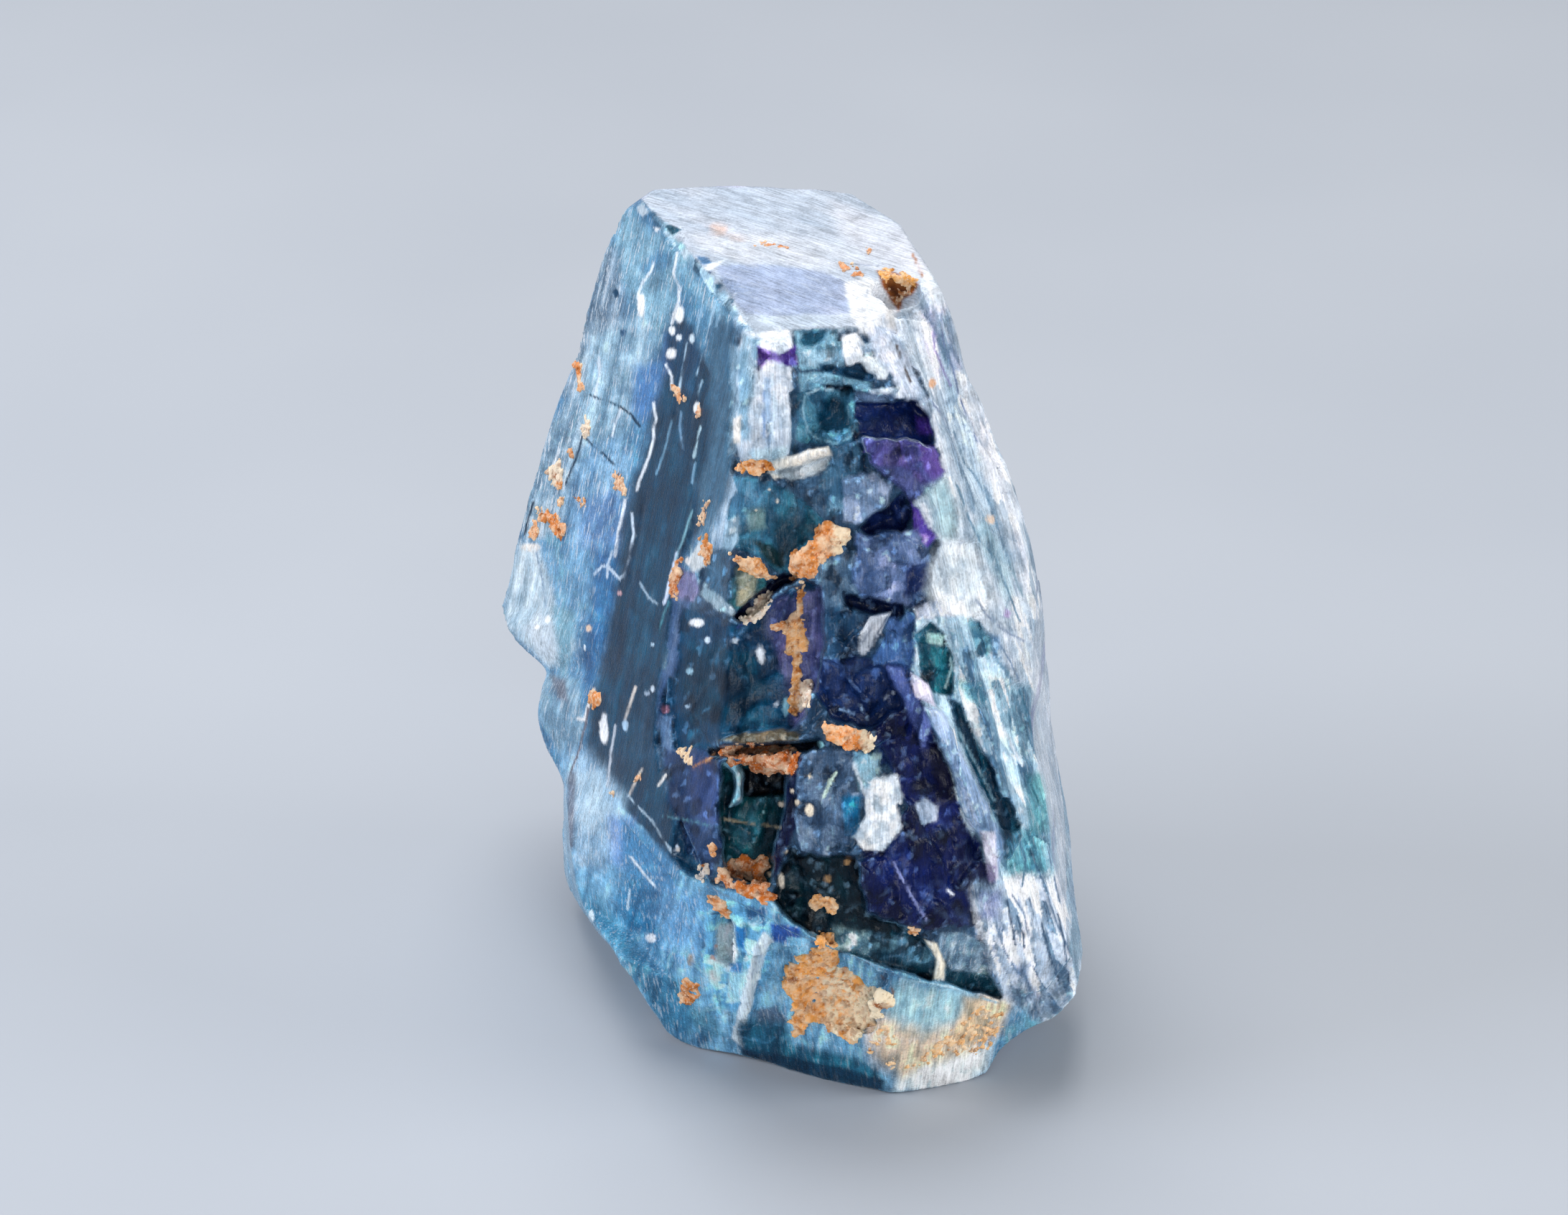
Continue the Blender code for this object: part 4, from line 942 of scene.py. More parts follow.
def sharpness(mesh, points, normals):
    """How much each point stands out from its neighbours; hollows are negative."""
    pairs = np.empty(len(mesh.edges) * 2, np.int32)
    mesh.edges.foreach_get("vertices", pairs)
    a, b = pairs.reshape(-1, 2).T
    run = points[b] - points[a]
    run /= np.linalg.norm(run, axis=1, keepdims=True) + 1e-9
    count = np.bincount(pairs, minlength=len(points)) + 1e-9
    drop = np.bincount(a, -np.einsum("ij,ij->i", normals[a], run), len(points))
    drop += np.bincount(b, np.einsum("ij,ij->i", normals[b], run), len(points))
    bend = drop / count
    around = np.bincount(a, bend[b], len(points)) + np.bincount(b, bend[a], len(points))
    return 0.5 * bend + 0.5 * around / count


# The part of the front that is filled up before it is cut back: a convex outline, and how
# thick the filling is.
BROKEN_ZONE = outline(
    "1022,454 1201,441 1272,480 1327,612 1378,753 1439,906 1474,1048 1498,1212 1505,1289 1452,1365"
    " 1387,1398 1245,1354 1103,1299 988,1234 928,1092 915,983 941,830 983,655"
)
FILLING = 6.5
FILLING_FACE = (5, 19, (-1.27, -5.35, 40.0))

# The sides of the crystal: azimuth from the front, tilt, a point of the side, and the
# colour of what the picture doesn't show of it.
SIDES = {
    "top": (55, 90, (0, 0, 40.0), "#D5DEEB"),
    "left": (-67.5, 12, (-7.0, 8.6, 40.0), "#6C9CC0"),
    "left_low": (-76, -8, (-15.0, 13.2, 13.6), "#7FA9C6"),
    "back_left": (-125, 16, (-8.7, 11.0, 37.6), "#7BA5C6"),
    "back": (175, 9, (-0.9, 9.5, 40.0), "#6A93B8"),
    "back_right": (124, 14, (3.4, 9.2, 40.0), "#9AB8D0"),
    "right_back": (104, 16, (7.7, -2.0, 40.0), "#BCCBDC"),
    "right": (80, 17.5, (7.8, -1.5, 39.6), "#C6D2E0"),
    "front_right": (42, 19, (3.4, -5.2, 40.0), "#B9CADB"),
    "front": (5, 19, (-1.3, -5.3, 40.0), "#3F6480"),
    "foot_left": (-72, -34, (-10.7, -1.6, 4.4), "#6B9FC0"),
    "foot_front": (-22, -17, (1.7, -9.7, 0), "#5F97B8"),
    "foot_right": (19, -14, (5.6, -11.1, 0), "#6FA4C2"),
    "foot_side": (72, -35, (15.4, -5.1, 4.9), "#8DB4CC"),
    "foot_back": (176, -22, (0.1, 11.9, 6.0), "#5E8DB0"),
    "foot_back_left": (-128, -34, (-12.3, 11.4, 8.0), "#5E90B4"),
    "foot_back_right": (125, -28, (9.1, 7.9, 7.0), "#7BA3C0"),
}

# How far apart the flats of the sides lie, in millimetres, so that none repeats another.
SIDE_STEP = 37.0


def unit(azimuth, tilt):
    a, t = math.radians(azimuth), math.radians(tilt)
    return np.array((math.cos(t) * math.sin(a), -math.cos(t) * math.cos(a), math.sin(t)))


def on_sides(points):
    """The side that each point lies on, and the point in that side's frame: across, out, down."""
    own = np.zeros_like(points)
    side = np.zeros(len(points), int)
    height = np.full(len(points), -np.inf)
    for i, (azimuth, tilt, start, _) in enumerate(SIDES.values()):
        out, across = unit(azimuth, tilt), unit(azimuth + 90, 0)
        above = (points - start) @ out
        pick = above > height
        own[pick] = points[pick] @ np.stack((across, out, np.cross(out, across)), axis=1)
        side[pick], height[pick] = i, above[pick]
    return side, own


def shards(flat, size, seed, turn=0.0):
    """Angular cells: a number for each cell, and the way to its middle."""
    c, s = math.cos(math.radians(turn)), math.sin(math.radians(turn))
    p = np.stack((flat[:, 0] * c + flat[:, 1] * s, flat[:, 1] * c - flat[:, 0] * s), axis=1) / size
    low = np.floor(p)
    nearest = np.full(len(p), np.inf)
    value = np.zeros(len(p))
    away = np.zeros_like(p)
    for step in itertools.product((-1, 0, 1), repeat=2):
        cell = np.concatenate((low + step, np.zeros((len(p), 1))), axis=1)
        middle = np.stack((cell_value(cell, seed + 1), cell_value(cell, seed + 2)), axis=1)
        gap = low + step + middle - p
        reach = np.hypot(gap[:, 0], gap[:, 1])
        closer = reach < nearest
        value = np.where(closer, cell_value(cell, seed), value)
        away = np.where(closer[:, None], gap, away)
        nearest = np.minimum(nearest, reach)
    return value, away


def veins(flat, size, seed, width=0.1):
    """Thin wandering lines, 1 in the middle of a line and 0 off it."""
    bends = np.stack([layered(flat, size, seed + i) for i in (3, 6, 9)], axis=1)
    bent = flat + 0.35 * np.asarray(size) * bends
    return 1 - smooth(abs(grain(bent, size, seed)), 0, width)


def leaned(flat, degrees):
    """The flat turned so that its second way runs down to the left by some degrees."""
    c, s = math.cos(math.radians(degrees)), math.sin(math.radians(degrees))
    x, y = flat[:, 0], flat[:, 1]
    return np.stack((x * c + y * s, y * c - x * s, flat[:, 2]), axis=1)


# Which way lines run: down the left side, down the right side, and across the top, in
# degrees from straight down, to the left.
LEFT_LEAN, RIGHT_LEAN, TOP_LEAN = 14.0, -17.0, -70.0


class Pattern:
    """What the stone is patterned with, on a flat that is measured in millimetres.

    The flat is the plane of the picture for what the picture shows, so that a pattern
    stays put when a point is cut back along its line of sight, and the plane of a
    side for all that it doesn't show.
    """

    def __init__(self, flat):
        self.flat = flat

    @cached_property
    def cloud(self):
        return layered(self.flat, 1.9, 65)

    @cached_property
    def fleck(self):
        return layered(self.flat, 0.42, 66)

    @cached_property
    def large(self):
        return shards(self.flat, (2.2, 2.9), 3, 9)

    @cached_property
    def middle(self):
        return shards(self.flat, (1.05, 1.4), 15, -14)

    @cached_property
    def small(self):
        return shards(self.flat, (0.48, 0.62), 27, 20)

    @cached_property
    def specks(self):
        return shards(self.flat, (0.2, 0.28), 31, 33)

    @cached_property
    def blades(self):
        return shards(leaned(self.flat, RIGHT_LEAN), (0.75, 4.6), 35)

    @cached_property
    def needles(self):
        return shards(leaned(self.flat, RIGHT_LEAN), (0.34, 2.1), 39)

    @cached_property
    def wisps(self):
        lines = np.maximum(veins(self.flat, 1.3, 71, 0.10), 0.8 * veins(self.flat, 0.6, 81, 0.13))
        return lines * smooth(layered(self.flat, 1.7, 91), -0.25, 0.35)

    @cached_property
    def hairs(self):
        down = leaned(self.flat, RIGHT_LEAN)
        lines = np.maximum(veins(down, (0.55, 3.4, 1), 101, 0.13), veins(down, (0.3, 1.6, 1), 111, 0.14))
        return lines * smooth(layered(self.flat, 2.3, 121), -0.3, 0.3)

    @cached_property
    def streak(self):
        down = leaned(self.flat, LEFT_LEAN)
        return 0.8 * grain(down, (0.26, 4.5, 1), 131) + 0.8 * grain(down, (0.16, 1.8, 1), 132)

    @cached_property
    def hatch(self):
        across = leaned(self.flat, TOP_LEAN)
        return 0.7 * grain(across, (0.42, 6.5, 1), 133) + 0.6 * grain(across, (0.26, 3.2, 1), 134)

    def wandering(self):
        """Shifts that change smoothly, so that outlines bend."""
        ways = [layered(self.flat, 1.7, seed) + 0.35 * layered(self.flat, 0.5, seed + 3) for seed in (21, 22)]
        return np.stack(ways, axis=1)

    def jumping(self):
        """Shifts that are the same all over a shard, so that outlines break along its edges."""
        jumps = 0
        for (value, _), reach in ((self.middle, 1.0), (self.small, 0.55)):
            shift = np.stack((np.modf(value * 7.3)[0] - 0.5, np.modf(value * 3.7)[0] - 0.5), axis=1)
            jumps = jumps + reach * shift
        return jumps

    def tone(self, style):
        """How much lighter or darker the stone is, as a power of e."""
        if style == "frosted":
            return 0.7 * self.cloud + 0.7 * self.fleck + 0.5 * (self.needles[0] - 0.5)
        if style == "smooth":
            return 0.6 * self.cloud + 0.1 * self.fleck + 0.75 * self.hatch
        if style == "cloudy":
            return 0.65 * self.cloud + 0.6 * self.fleck + 0.5 * self.streak + 0.3 * (self.small[0] - 0.5)
        if style == "splintered":
            cut = 1.5 * (self.blades[0] - 0.5) + 1.6 * (self.needles[0] - 0.5)
            return cut + 0.5 * self.fleck + 0.4 * self.cloud
        cut = 1.0 * (self.large[0] - 0.5) + 1.4 * (self.middle[0] - 0.5) + 1.5 * (self.small[0] - 0.5)
        return cut + 0.7 * self.fleck + 0.7 * self.cloud

    def relief(self, style):
        """How much deeper the broken stone is cut, in millimetres."""
        if style in ("smooth", "cloudy"):
            return 0.0
        forms = {
            "shattered": ((self.large, 0.55), (self.middle, 0.34), (self.small, 0.16)),
            "splintered": ((self.blades, 0.45), (self.needles, 0.2)),
            "frosted": ((self.middle, 0.16), (self.needles, 0.10)),
        }[style]
        depth = 0
        for (value, away), reach in forms:
            lean = np.stack((np.modf(value * 5.1)[0] - 0.5, np.modf(value * 9.7)[0] - 0.5), axis=1)
            depth = depth + reach * ((value - 0.5) + 1.5 * np.einsum("ij,ij->i", lean, away))
        return depth + 0.1


def side_pattern(side, own):
    """The pattern of the sides: each is a flat of its own, across and down."""
    flat = np.stack((own[:, 0], own[:, 2], np.zeros(len(own))), axis=1)
    return Pattern(flat + side[:, None] * SIDE_STEP * np.array((1, 1, 0)))


def filling(solid):
    """What was broken off: the whole block, cut to the broken zone along the lines of sight."""
    bm = bmesh.new()
    for point in places(solid.data):
        bm.verts.new(point)
    hull = bmesh.ops.convex_hull(bm, input=bm.verts)
    bmesh.ops.delete(bm, geom=list(set(hull["geom_interior"])), context="VERTS")
    rays = sight(BROKEN_ZONE[:, 0], BROKEN_ZONE[:, 1])
    middle = sight(*BROKEN_ZONE.mean(axis=0))
    cuts = []
    for a, b in zip(rays, np.roll(rays, -1, axis=0), strict=True):
        normal = np.cross(a, b)
        cuts.append((EYE, normal if normal @ middle < 0 else -normal))
    azimuth, tilt, point = FILLING_FACE
    cuts.append((np.array(point) - FILLING * unit(azimuth, tilt), -unit(azimuth, tilt)))
    for place, normal in cuts:
        geom = bm.verts[:] + bm.edges[:] + bm.faces[:]
        normal = normal / np.linalg.norm(normal)
        cut = bmesh.ops.bisect_plane(
            bm, geom=geom, dist=1e-5, plane_co=place, plane_no=normal, clear_outer=True
        )
        rim = [e for e in cut["geom_cut"] if isinstance(e, bmesh.types.BMEdge)]
        if rim:
            bmesh.ops.edgeloop_fill(bm, edges=rim)
    bmesh.ops.recalc_face_normals(bm, faces=bm.faces)
    bmesh.ops.transform(bm, matrix=MATRIX_MM, verts=bm.verts)
    mesh = bpy.data.meshes.new("filling")
    bm.to_mesh(mesh)
    bm.free()
    return mesh


def fitted(points):
    """Points shifted across the line of sight so that the outline is the picture's."""
    u, v = to_picture(points)
    du, dv = u - OUTLINE_MIDDLE[0], v - OUTLINE_MIDDLE[1]
    angle, reach = np.arctan2(dv, du), np.hypot(du, dv)
    turns = (np.arange(OUTLINE_TURNS) + 0.5) / OUTLINE_TURNS * math.tau - math.pi
    index = np.clip(((angle + math.pi) / math.tau * OUTLINE_TURNS).astype(int), 0, OUTLINE_TURNS - 1)
    own = np.ones(OUTLINE_TURNS)
    np.maximum.at(own, index, reach)
    line = outline(SILHOUETTE) - OUTLINE_MIDDLE
    bearing, far = np.arctan2(line[:, 1], line[:, 0]), np.hypot(line[:, 0], line[:, 1])
    wanted = np.interp(turns, bearing, far, period=math.tau)
    ratio = np.clip(wanted / own, 1 - OUTLINE_GIVE, 1 + OUTLINE_GIVE)
    ratio = (np.roll(ratio, 1) + 2 * ratio + np.roll(ratio, -1)) / 4
    share = smooth(reach / own[index], *OUTLINE_RIM)
    stretch = (np.interp(angle, turns, ratio, period=math.tau) - 1) * share
    step = ((points - EYE) @ FORWARD) / FOCAL
    moved = points + (du * stretch * step)[:, None] * RIGHT - (dv * stretch * step)[:, None] * UP
    moved[:, 2] = np.clip(moved[:, 2], 0, None)
    return moved


# How far outlines wander, in smooth bends and in angular jumps, in millimetres, and how
# strongly pale wisps, dark hairlines, painted glints with a few darkened cells, and fine
# scratches lie on the stone.
STYLES = {
    "smooth": {"bends": 0.06, "jumps": 0.03, "wisps": 0.10, "hairs": 0.10, "glints": 0.0, "brush": 0.2},
    "cloudy": {"bends": 0.22, "jumps": 0.08, "wisps": 0.30, "hairs": 0.0, "glints": 0.10, "brush": 0.55},
    "shattered": {"bends": 0.10, "jumps": 0.30, "wisps": 0.45, "hairs": 0.0, "glints": 0.75, "brush": 0.12},
    "splintered": {"bends": 0.12, "jumps": 0.26, "wisps": 0.30, "hairs": 0.45, "glints": 0.45, "brush": 0.3},
    "frosted": {"bends": 0.14, "jumps": 0.2, "wisps": 0.15, "hairs": 0.40, "glints": 0.10, "brush": 0.15},
}

# What holds for a patch where neither it nor its style says so.
PLAIN = {"lean": (0, 0), "rough": 1.0, "cover": 1.0, "mottle": 0.3, "frost": 0.12}

# Patches that are at least this wide, in pixels, bend as far as their style says, and
# smaller ones by no less than the least share.
BENDING_SIZE = 76
LEAST_BEND = 0.2

# In pixels: half the width of the slope at the edge of a cut, over how far a cut gets
# deeper by its lean, how softly lines end, and how far past an outline, and past a spot,
# the work on it may reach.
CUT_EDGE = 3.3
LEAN_REACH = 109
LINE_EDGE = 2.1
EDGE_ROOM = 2
SPOT_ROOM = 7

# From which share of facing the camera, and up to which, the front is cut, painted from
# the picture, and left without the terraces of the far sides. These lie between two
# heights, in millimetres.
CUT_FACING = (0.02, 0.16)
PAINT_FACING = (0.03, 0.2)
TERRACE_FACING = (0.0, 0.1)
TERRACES = (1.0, 38.8)


def patches():
    """What is laid on the front: outline, colour, values, style and how far it may bend."""
    for section, section_style in SECTIONS:
        for text, tint, how in section.values():
            line = outline(text)
            style = how.get("style", section_style)
            give = np.clip(np.ptp(line, axis=0).min() / BENDING_SIZE, LEAST_BEND, 1.0)
            yield line, colour(tint), {**PLAIN, **STYLES[style], **how}, style, give


def warped(pattern, u, v):
    """The picture's places, and how far each style shifts them."""
    bends, jumps = pattern.wandering(), pattern.jumping()
    out = {}
    for style, how in STYLES.items():
        shift = PIXELS_PER_MM * (how["bends"] * bends + how["jumps"] * jumps)
        out[style] = np.stack((u, v, shift[:, 0], shift[:, 1]))
    return out


def moved_in(bent, give):
    """The picture's places, shifted by a share of what a style shifts them by."""
    u, v, du, dv = bent
    return u + give * du, v + give * dv


def lay(ground, new, share, pick=slice(None)):
    """Lays a colour or a value over what is there, on all points or on those picked."""
    ground[pick] += (new - ground[pick]) * (share[:, None] if ground.ndim > 1 else share)


def depth_of(pattern, u, v):
    """How deep the front is cut behind the whole block, in millimetres, and how broken it is."""
    depth = np.zeros(len(u))
    rough = {style: np.zeros(len(u)) for style in STYLES}
    places_in = warped(pattern, u, v)
    for line, _, how, style, give in patches():
        if "depth" not in how:
            continue
        wu, wv = moved_in(places_in[style], give)
        pick = near(line, wu, wv, 4 * CUT_EDGE)
        middle = line.mean(axis=0)
        right, down = how["lean"]
        deeper = (right * (wu[pick] - middle[0]) + down * (wv[pick] - middle[1])) / LEAN_REACH
        share = smooth(inside(line, wu[pick], wv[pick]), -CUT_EDGE, CUT_EDGE)
        lay(depth, how["depth"] + deeper, share, pick)
        for other, amount in rough.items():
            lay(amount, how["rough"] if other == style else 0.0, share, pick)
    for style, amount in rough.items():
        depth += amount * pattern.relief(style)
    return depth, rough["shattered"] + rough["splintered"] + rough["frosted"]


def cut_front(obj):
    """Moves what the camera sees back along the lines of sight, facet by facet."""
    mesh = obj.data
    points = places(mesh)
    facing = seen(mesh, points, directions(mesh))
    u, v = to_picture(points)
    depth, _ = depth_of(Pattern(on_flat(u, v)), u, v)
    share = smooth(facing, *CUT_FACING)
    move_to(mesh, points + sight(u, v) * (depth * share)[:, None])


def crystal_body():
    """The crystal's mesh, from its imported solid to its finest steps."""
    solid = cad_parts[CRYSTAL]
    bm = bmesh.new()
    bm.from_mesh(solid.data)
    bmesh.ops.remove_doubles(bm, verts=bm.verts, dist=1e-7)
    bm.from_mesh(filling(solid))
    mesh = bpy.data.meshes.new("crystal")
    bm.to_mesh(mesh)
    bm.free()
    obj = remeshed(added("crystal", mesh), ROUGH_VOXEL)
    move_to(obj.data, fitted(places(obj.data)))
    cut_front(obj)
    remeshed(obj, FINE_VOXEL)
    mesh = obj.data
    points, normals = places(mesh), directions(mesh)
    facing = seen(mesh, points, normals)
    move_to(mesh, points + normals * skin(points, facing)[:, None])
    paint_crystal(mesh, facing)
    thinned_by_view(obj, facing)
    obj.data.shade_smooth()
    return obj


def skin(points, facing):
    """The fine relief: growth lines on the smooth faces, cleavage terraces on the far sides."""
    side, own = on_sides(points)
    far = side_pattern(side, own)
    high = smooth(layered(points, 6.0, 41), -0.15, 0.2) * (1 - smooth(facing, *TERRACE_FACING))
    value, away = far.large
    terraces = 0.30 * np.floor(value * 4) / 3 + 0.10 * (away[:, 0] + away[:, 1])
    terraces = terraces + 0.12 * np.floor(far.middle[0] * 3) / 2
    terraces += 0.10 * far.blades[0]
    growth = 0.012 * grain(own, (0.3, 9, 5.0), 43) + 0.008 * layered(points, 0.5, 45)
    return growth - high * terraces * (points[:, 2] > TERRACES[0]) * (points[:, 2] < TERRACES[1])


# Colours of the stone: what bruised stone, painted glints and painted edge highlights lean to,
# and what is added to them in the dark; how much more red than blue an uneven colour
# changes; hairlines; and the deep zones, pale zones and violet bands of the far sides.
PALE_TINT = np.array((0.93, 1.0, 1.06))
BRUISE_AND_GLINT_TINT = np.array((0.62, 0.92, 1.12))
UNEVEN = np.array((1.3, 1.0, 0.8))
HAIR = colour("#54708F")
DEEP_ZONE, PALE_ZONE, VIOLET_BAND = colour("#2C5A82"), colour("#CFDDE9"), colour("#5A4A98")

# How strongly fine scratches show on what the picture doesn't show, and how frosted lines
# and spots are.
FAR_BRUSH = 0.3
LINE_FROST, SPOT_FROST = 0.7, 0.8

# From how sharp an edge, and up to how sharp, the stone is worn pale and given a painted
# highlight; from how sharp a hollow, and up to how sharp, it is darkened as painted shade.
WORN_AND_LIT = (0.10, 0.30)
HOLLOW_SHADE = (0.08, 0.28)


def toned(tint, mottle, tone):
    """A colour made uneven by a tone."""
    return tint * np.exp(np.outer(mottle * tone, UNEVEN))


def pale_for_bruises_and_glints(paint, gain, more, most):
    """The pale colour of bruised stone, also laid as painted glints and as painted highlights on sharp edges.
    """
    return np.minimum(paint * gain + more, most) * PALE_TINT


def paint_crystal(mesh, facing):
    """Lays the colours and the frost on the points of the finished crystal, with painted glints, painted
    highlights on edges and painted shade in hollows.
    """
    points, normals = places(mesh), directions(mesh)
    bend = sharpness(mesh, points, normals)
    side, own = on_sides(points)
    paint, frost = far_sides(points, side, own)
    u, v = to_picture(points)
    pattern = Pattern(on_flat(u, v))
    places_in = warped(pattern, u, v)
    picture, picture_frost = paint.copy(), frost.copy()
    broken = depth_of(pattern, u, v)[1]
    brush = np.full(len(points), FAR_BRUSH)
    tones = {style: pattern.tone(style) for style in STYLES}
    wisps, hairs, glints = (np.zeros(len(points)) for _ in range(3))
    for line, tint, how, style, give in patches():
        edge, mottle = how["edge"], how["mottle"]
        wu, wv = moved_in(places_in[style], give)
        pick = near(line, wu, wv, edge + EDGE_ROOM)
        share = smooth(inside(line, wu[pick], wv[pick]), -edge / 2, edge / 2) * how["cover"]
        lay(picture, toned(tint, mottle, tones[style][pick]), share, pick)
        lay(picture_frost, how["frost"], share, pick)
        lay(wisps, how["wisps"] * (0.3 + mottle), share, pick)
        lay(hairs, how["hairs"], share, pick)
        lay(glints, how["glints"], share, pick)
        lay(brush, how["brush"], share, pick)
    bright = (picture @ LUMINANCE)[:, None]
    pale = pale_for_bruises_and_glints(picture, 2.4, 0.13 * BRUISE_AND_GLINT_TINT, 0.86)
    lay(picture, pale, wisps * pattern.wisps)
    lay(picture, np.minimum(HAIR * (0.35 + 1.1 * bright), picture), hairs * pattern.hairs)
    # Painted glints: a few tiny cells are laid almost white, as light caught by small facets. Then a few
    # small cells are darkened.
    lay(picture, pale * 1.12, glints * smooth(pattern.specks[0], 0.93, 0.96))
    dark = glints * (1 - smooth(pattern.small[0], 0.10, 0.14))
    lay(picture, picture * 0.35, dark * (1 - 0.6 * picture_frost))
    for text, width, tint in LINES:
        line = outline(text)
        wu, wv = moved_in(places_in["smooth"], 1.0)
        pick = near(line, wu, wv, width + EDGE_ROOM)
        share = 1 - smooth(along(line, wu[pick], wv[pick]), width * 0.25, width * 0.25 + LINE_EDGE)
        share *= smooth(pattern.streak[pick] + 0.6 * pattern.fleck[pick], -1.0, 0.0)
        lay(picture, colour(tint), share, pick)
        lay(picture_frost, LINE_FROST, share, pick)
    for x, y, wide, high, tint in SPOTS:
        wu, wv = moved_in(places_in["cloudy"], 0.4)
        pick = np.nonzero((abs(wu - x) < wide + SPOT_ROOM) & (abs(wv - y) < high + SPOT_ROOM))[0]
        reach = np.hypot((wu[pick] - x) / wide, (wv[pick] - y) / high)
        share = 1 - smooth(reach + 0.45 * pattern.fleck[pick], 0.8, 1.25)
        lay(picture, colour(tint), share, pick)
        lay(picture_frost, SPOT_FROST, share, pick)
    shown = smooth(facing, *PAINT_FACING)
    lay(paint, picture, shown)
    lay(frost, picture_frost, shown)
    lay(brush, FAR_BRUSH, 1 - shown)
    # Sharp edges are worn pale and rough; their pale colour is also a painted highlight, as where edges catch
    # the light.
    wear_and_highlight = smooth(bend, *WORN_AND_LIT) * (0.45 + 0.4 * np.clip(broken, 0, 1)) * smooth(pattern.fleck, -0.7, 0.1)
    lay(paint, pale_for_bruises_and_glints(paint, 2.2, 0.14 * BRUISE_AND_GLINT_TINT, 0.88), wear_and_highlight)
    frost += wear_and_highlight * 0.5
    # Painted shade: hollows are darkened, less where the stone is frosted.
    lay(paint, paint * 0.45, smooth(-bend, *HOLLOW_SHADE) * 0.8 * (1 - 0.7 * frost))
    write_paint(mesh, np.clip(paint, 0, 1))
    write(mesh, "frost", "FLOAT", np.clip(frost, 0, 1))
    write(mesh, "brush", "FLOAT", np.clip(brush, 0, 1))
    write(mesh, "fall", "FLOAT_VECTOR", own * MM)


def far_sides(points, side, own):
    """Colour zones all round: each side's colour, with clouds, growth bands and shards."""
    pattern = side_pattern(side, own)
    tints = np.array([colour(tint) for *_, tint in SIDES.values()])
    tone = 0.5 * pattern.tone("cloudy") + 0.3 * pattern.tone("shattered")
    paint = toned(tints[side], 0.5, tone)
    p = points @ AXES
    zone = layered(points, (8.0, 8.0, 12.0), 71)
    band = 0.5 + 0.5 * np.sin(p[:, 2] * 1.1 + 1.6 * grain(points, 9.0, 73))
    lay(paint, toned(DEEP_ZONE, 0.5, tone), 0.7 * smooth(zone + 0.3 * band, 0.3, 0.75))
    lay(paint, toned(PALE_ZONE, 0.3, tone), 0.55 * smooth(0.2 * pattern.fleck - zone, 0.15, 0.6))
    violet = smooth(band, 0.86, 0.97) * smooth(grain(points, 7.0, 74), 0.0, 0.5)
    lay(paint, toned(VIOLET_BAND, 0.5, tone), 0.6 * violet)
    pale = pale_for_bruises_and_glints(paint, 2.2, 0.2, 0.86)
    lay(paint, pale, 0.35 * pattern.wisps)
    lay(paint, pale, 0.30 * smooth(pattern.streak, 0.75, 1.0))
    lay(paint, pale, 0.4 * smooth(pattern.small[0], 0.94, 0.96))
    frost = 0.18 + 0.3 * smooth(-zone, 0.15, 0.5)
    return paint, frost


def spots_in(line, count, patchy, rng):
    """Places spread over an outline, thinner towards its edge and, if patchy, in clots."""
    low, high = line.min(axis=0), line.max(axis=0)
    found = np.empty((0, 2))
    while len(found) < count:
        tried = low + rng.random((count * 3, 2)) * (high - low)
        deep = inside(line, tried[:, 0], tried[:, 1])
        flat = on_flat(*tried.T)
        clot = layered(flat, CLOT_SIZE, 141) + 0.5 * layered(flat, CLOT_SIZE / 3, 145)
        fade = rng.random(len(tried)) * BED_FADE - BED_PAST
        keep = (deep > fade) & (clot > patchy * CLOT_GAP - CLOT_FLOOR)
        found = np.vstack((found, tried[keep]))
    return found[:count]


def pebble(detail):
    """The points and faces of a small ball, in numbers that can be bent."""
    bm = bmesh.new()
    bmesh.ops.create_icosphere(bm, subdivisions=detail, radius=1.0)
    points = np.array([v.co for v in bm.verts])
    faces = np.array([[v.index for v in f.verts] for f in bm.faces])
    bm.free()
    return points, faces


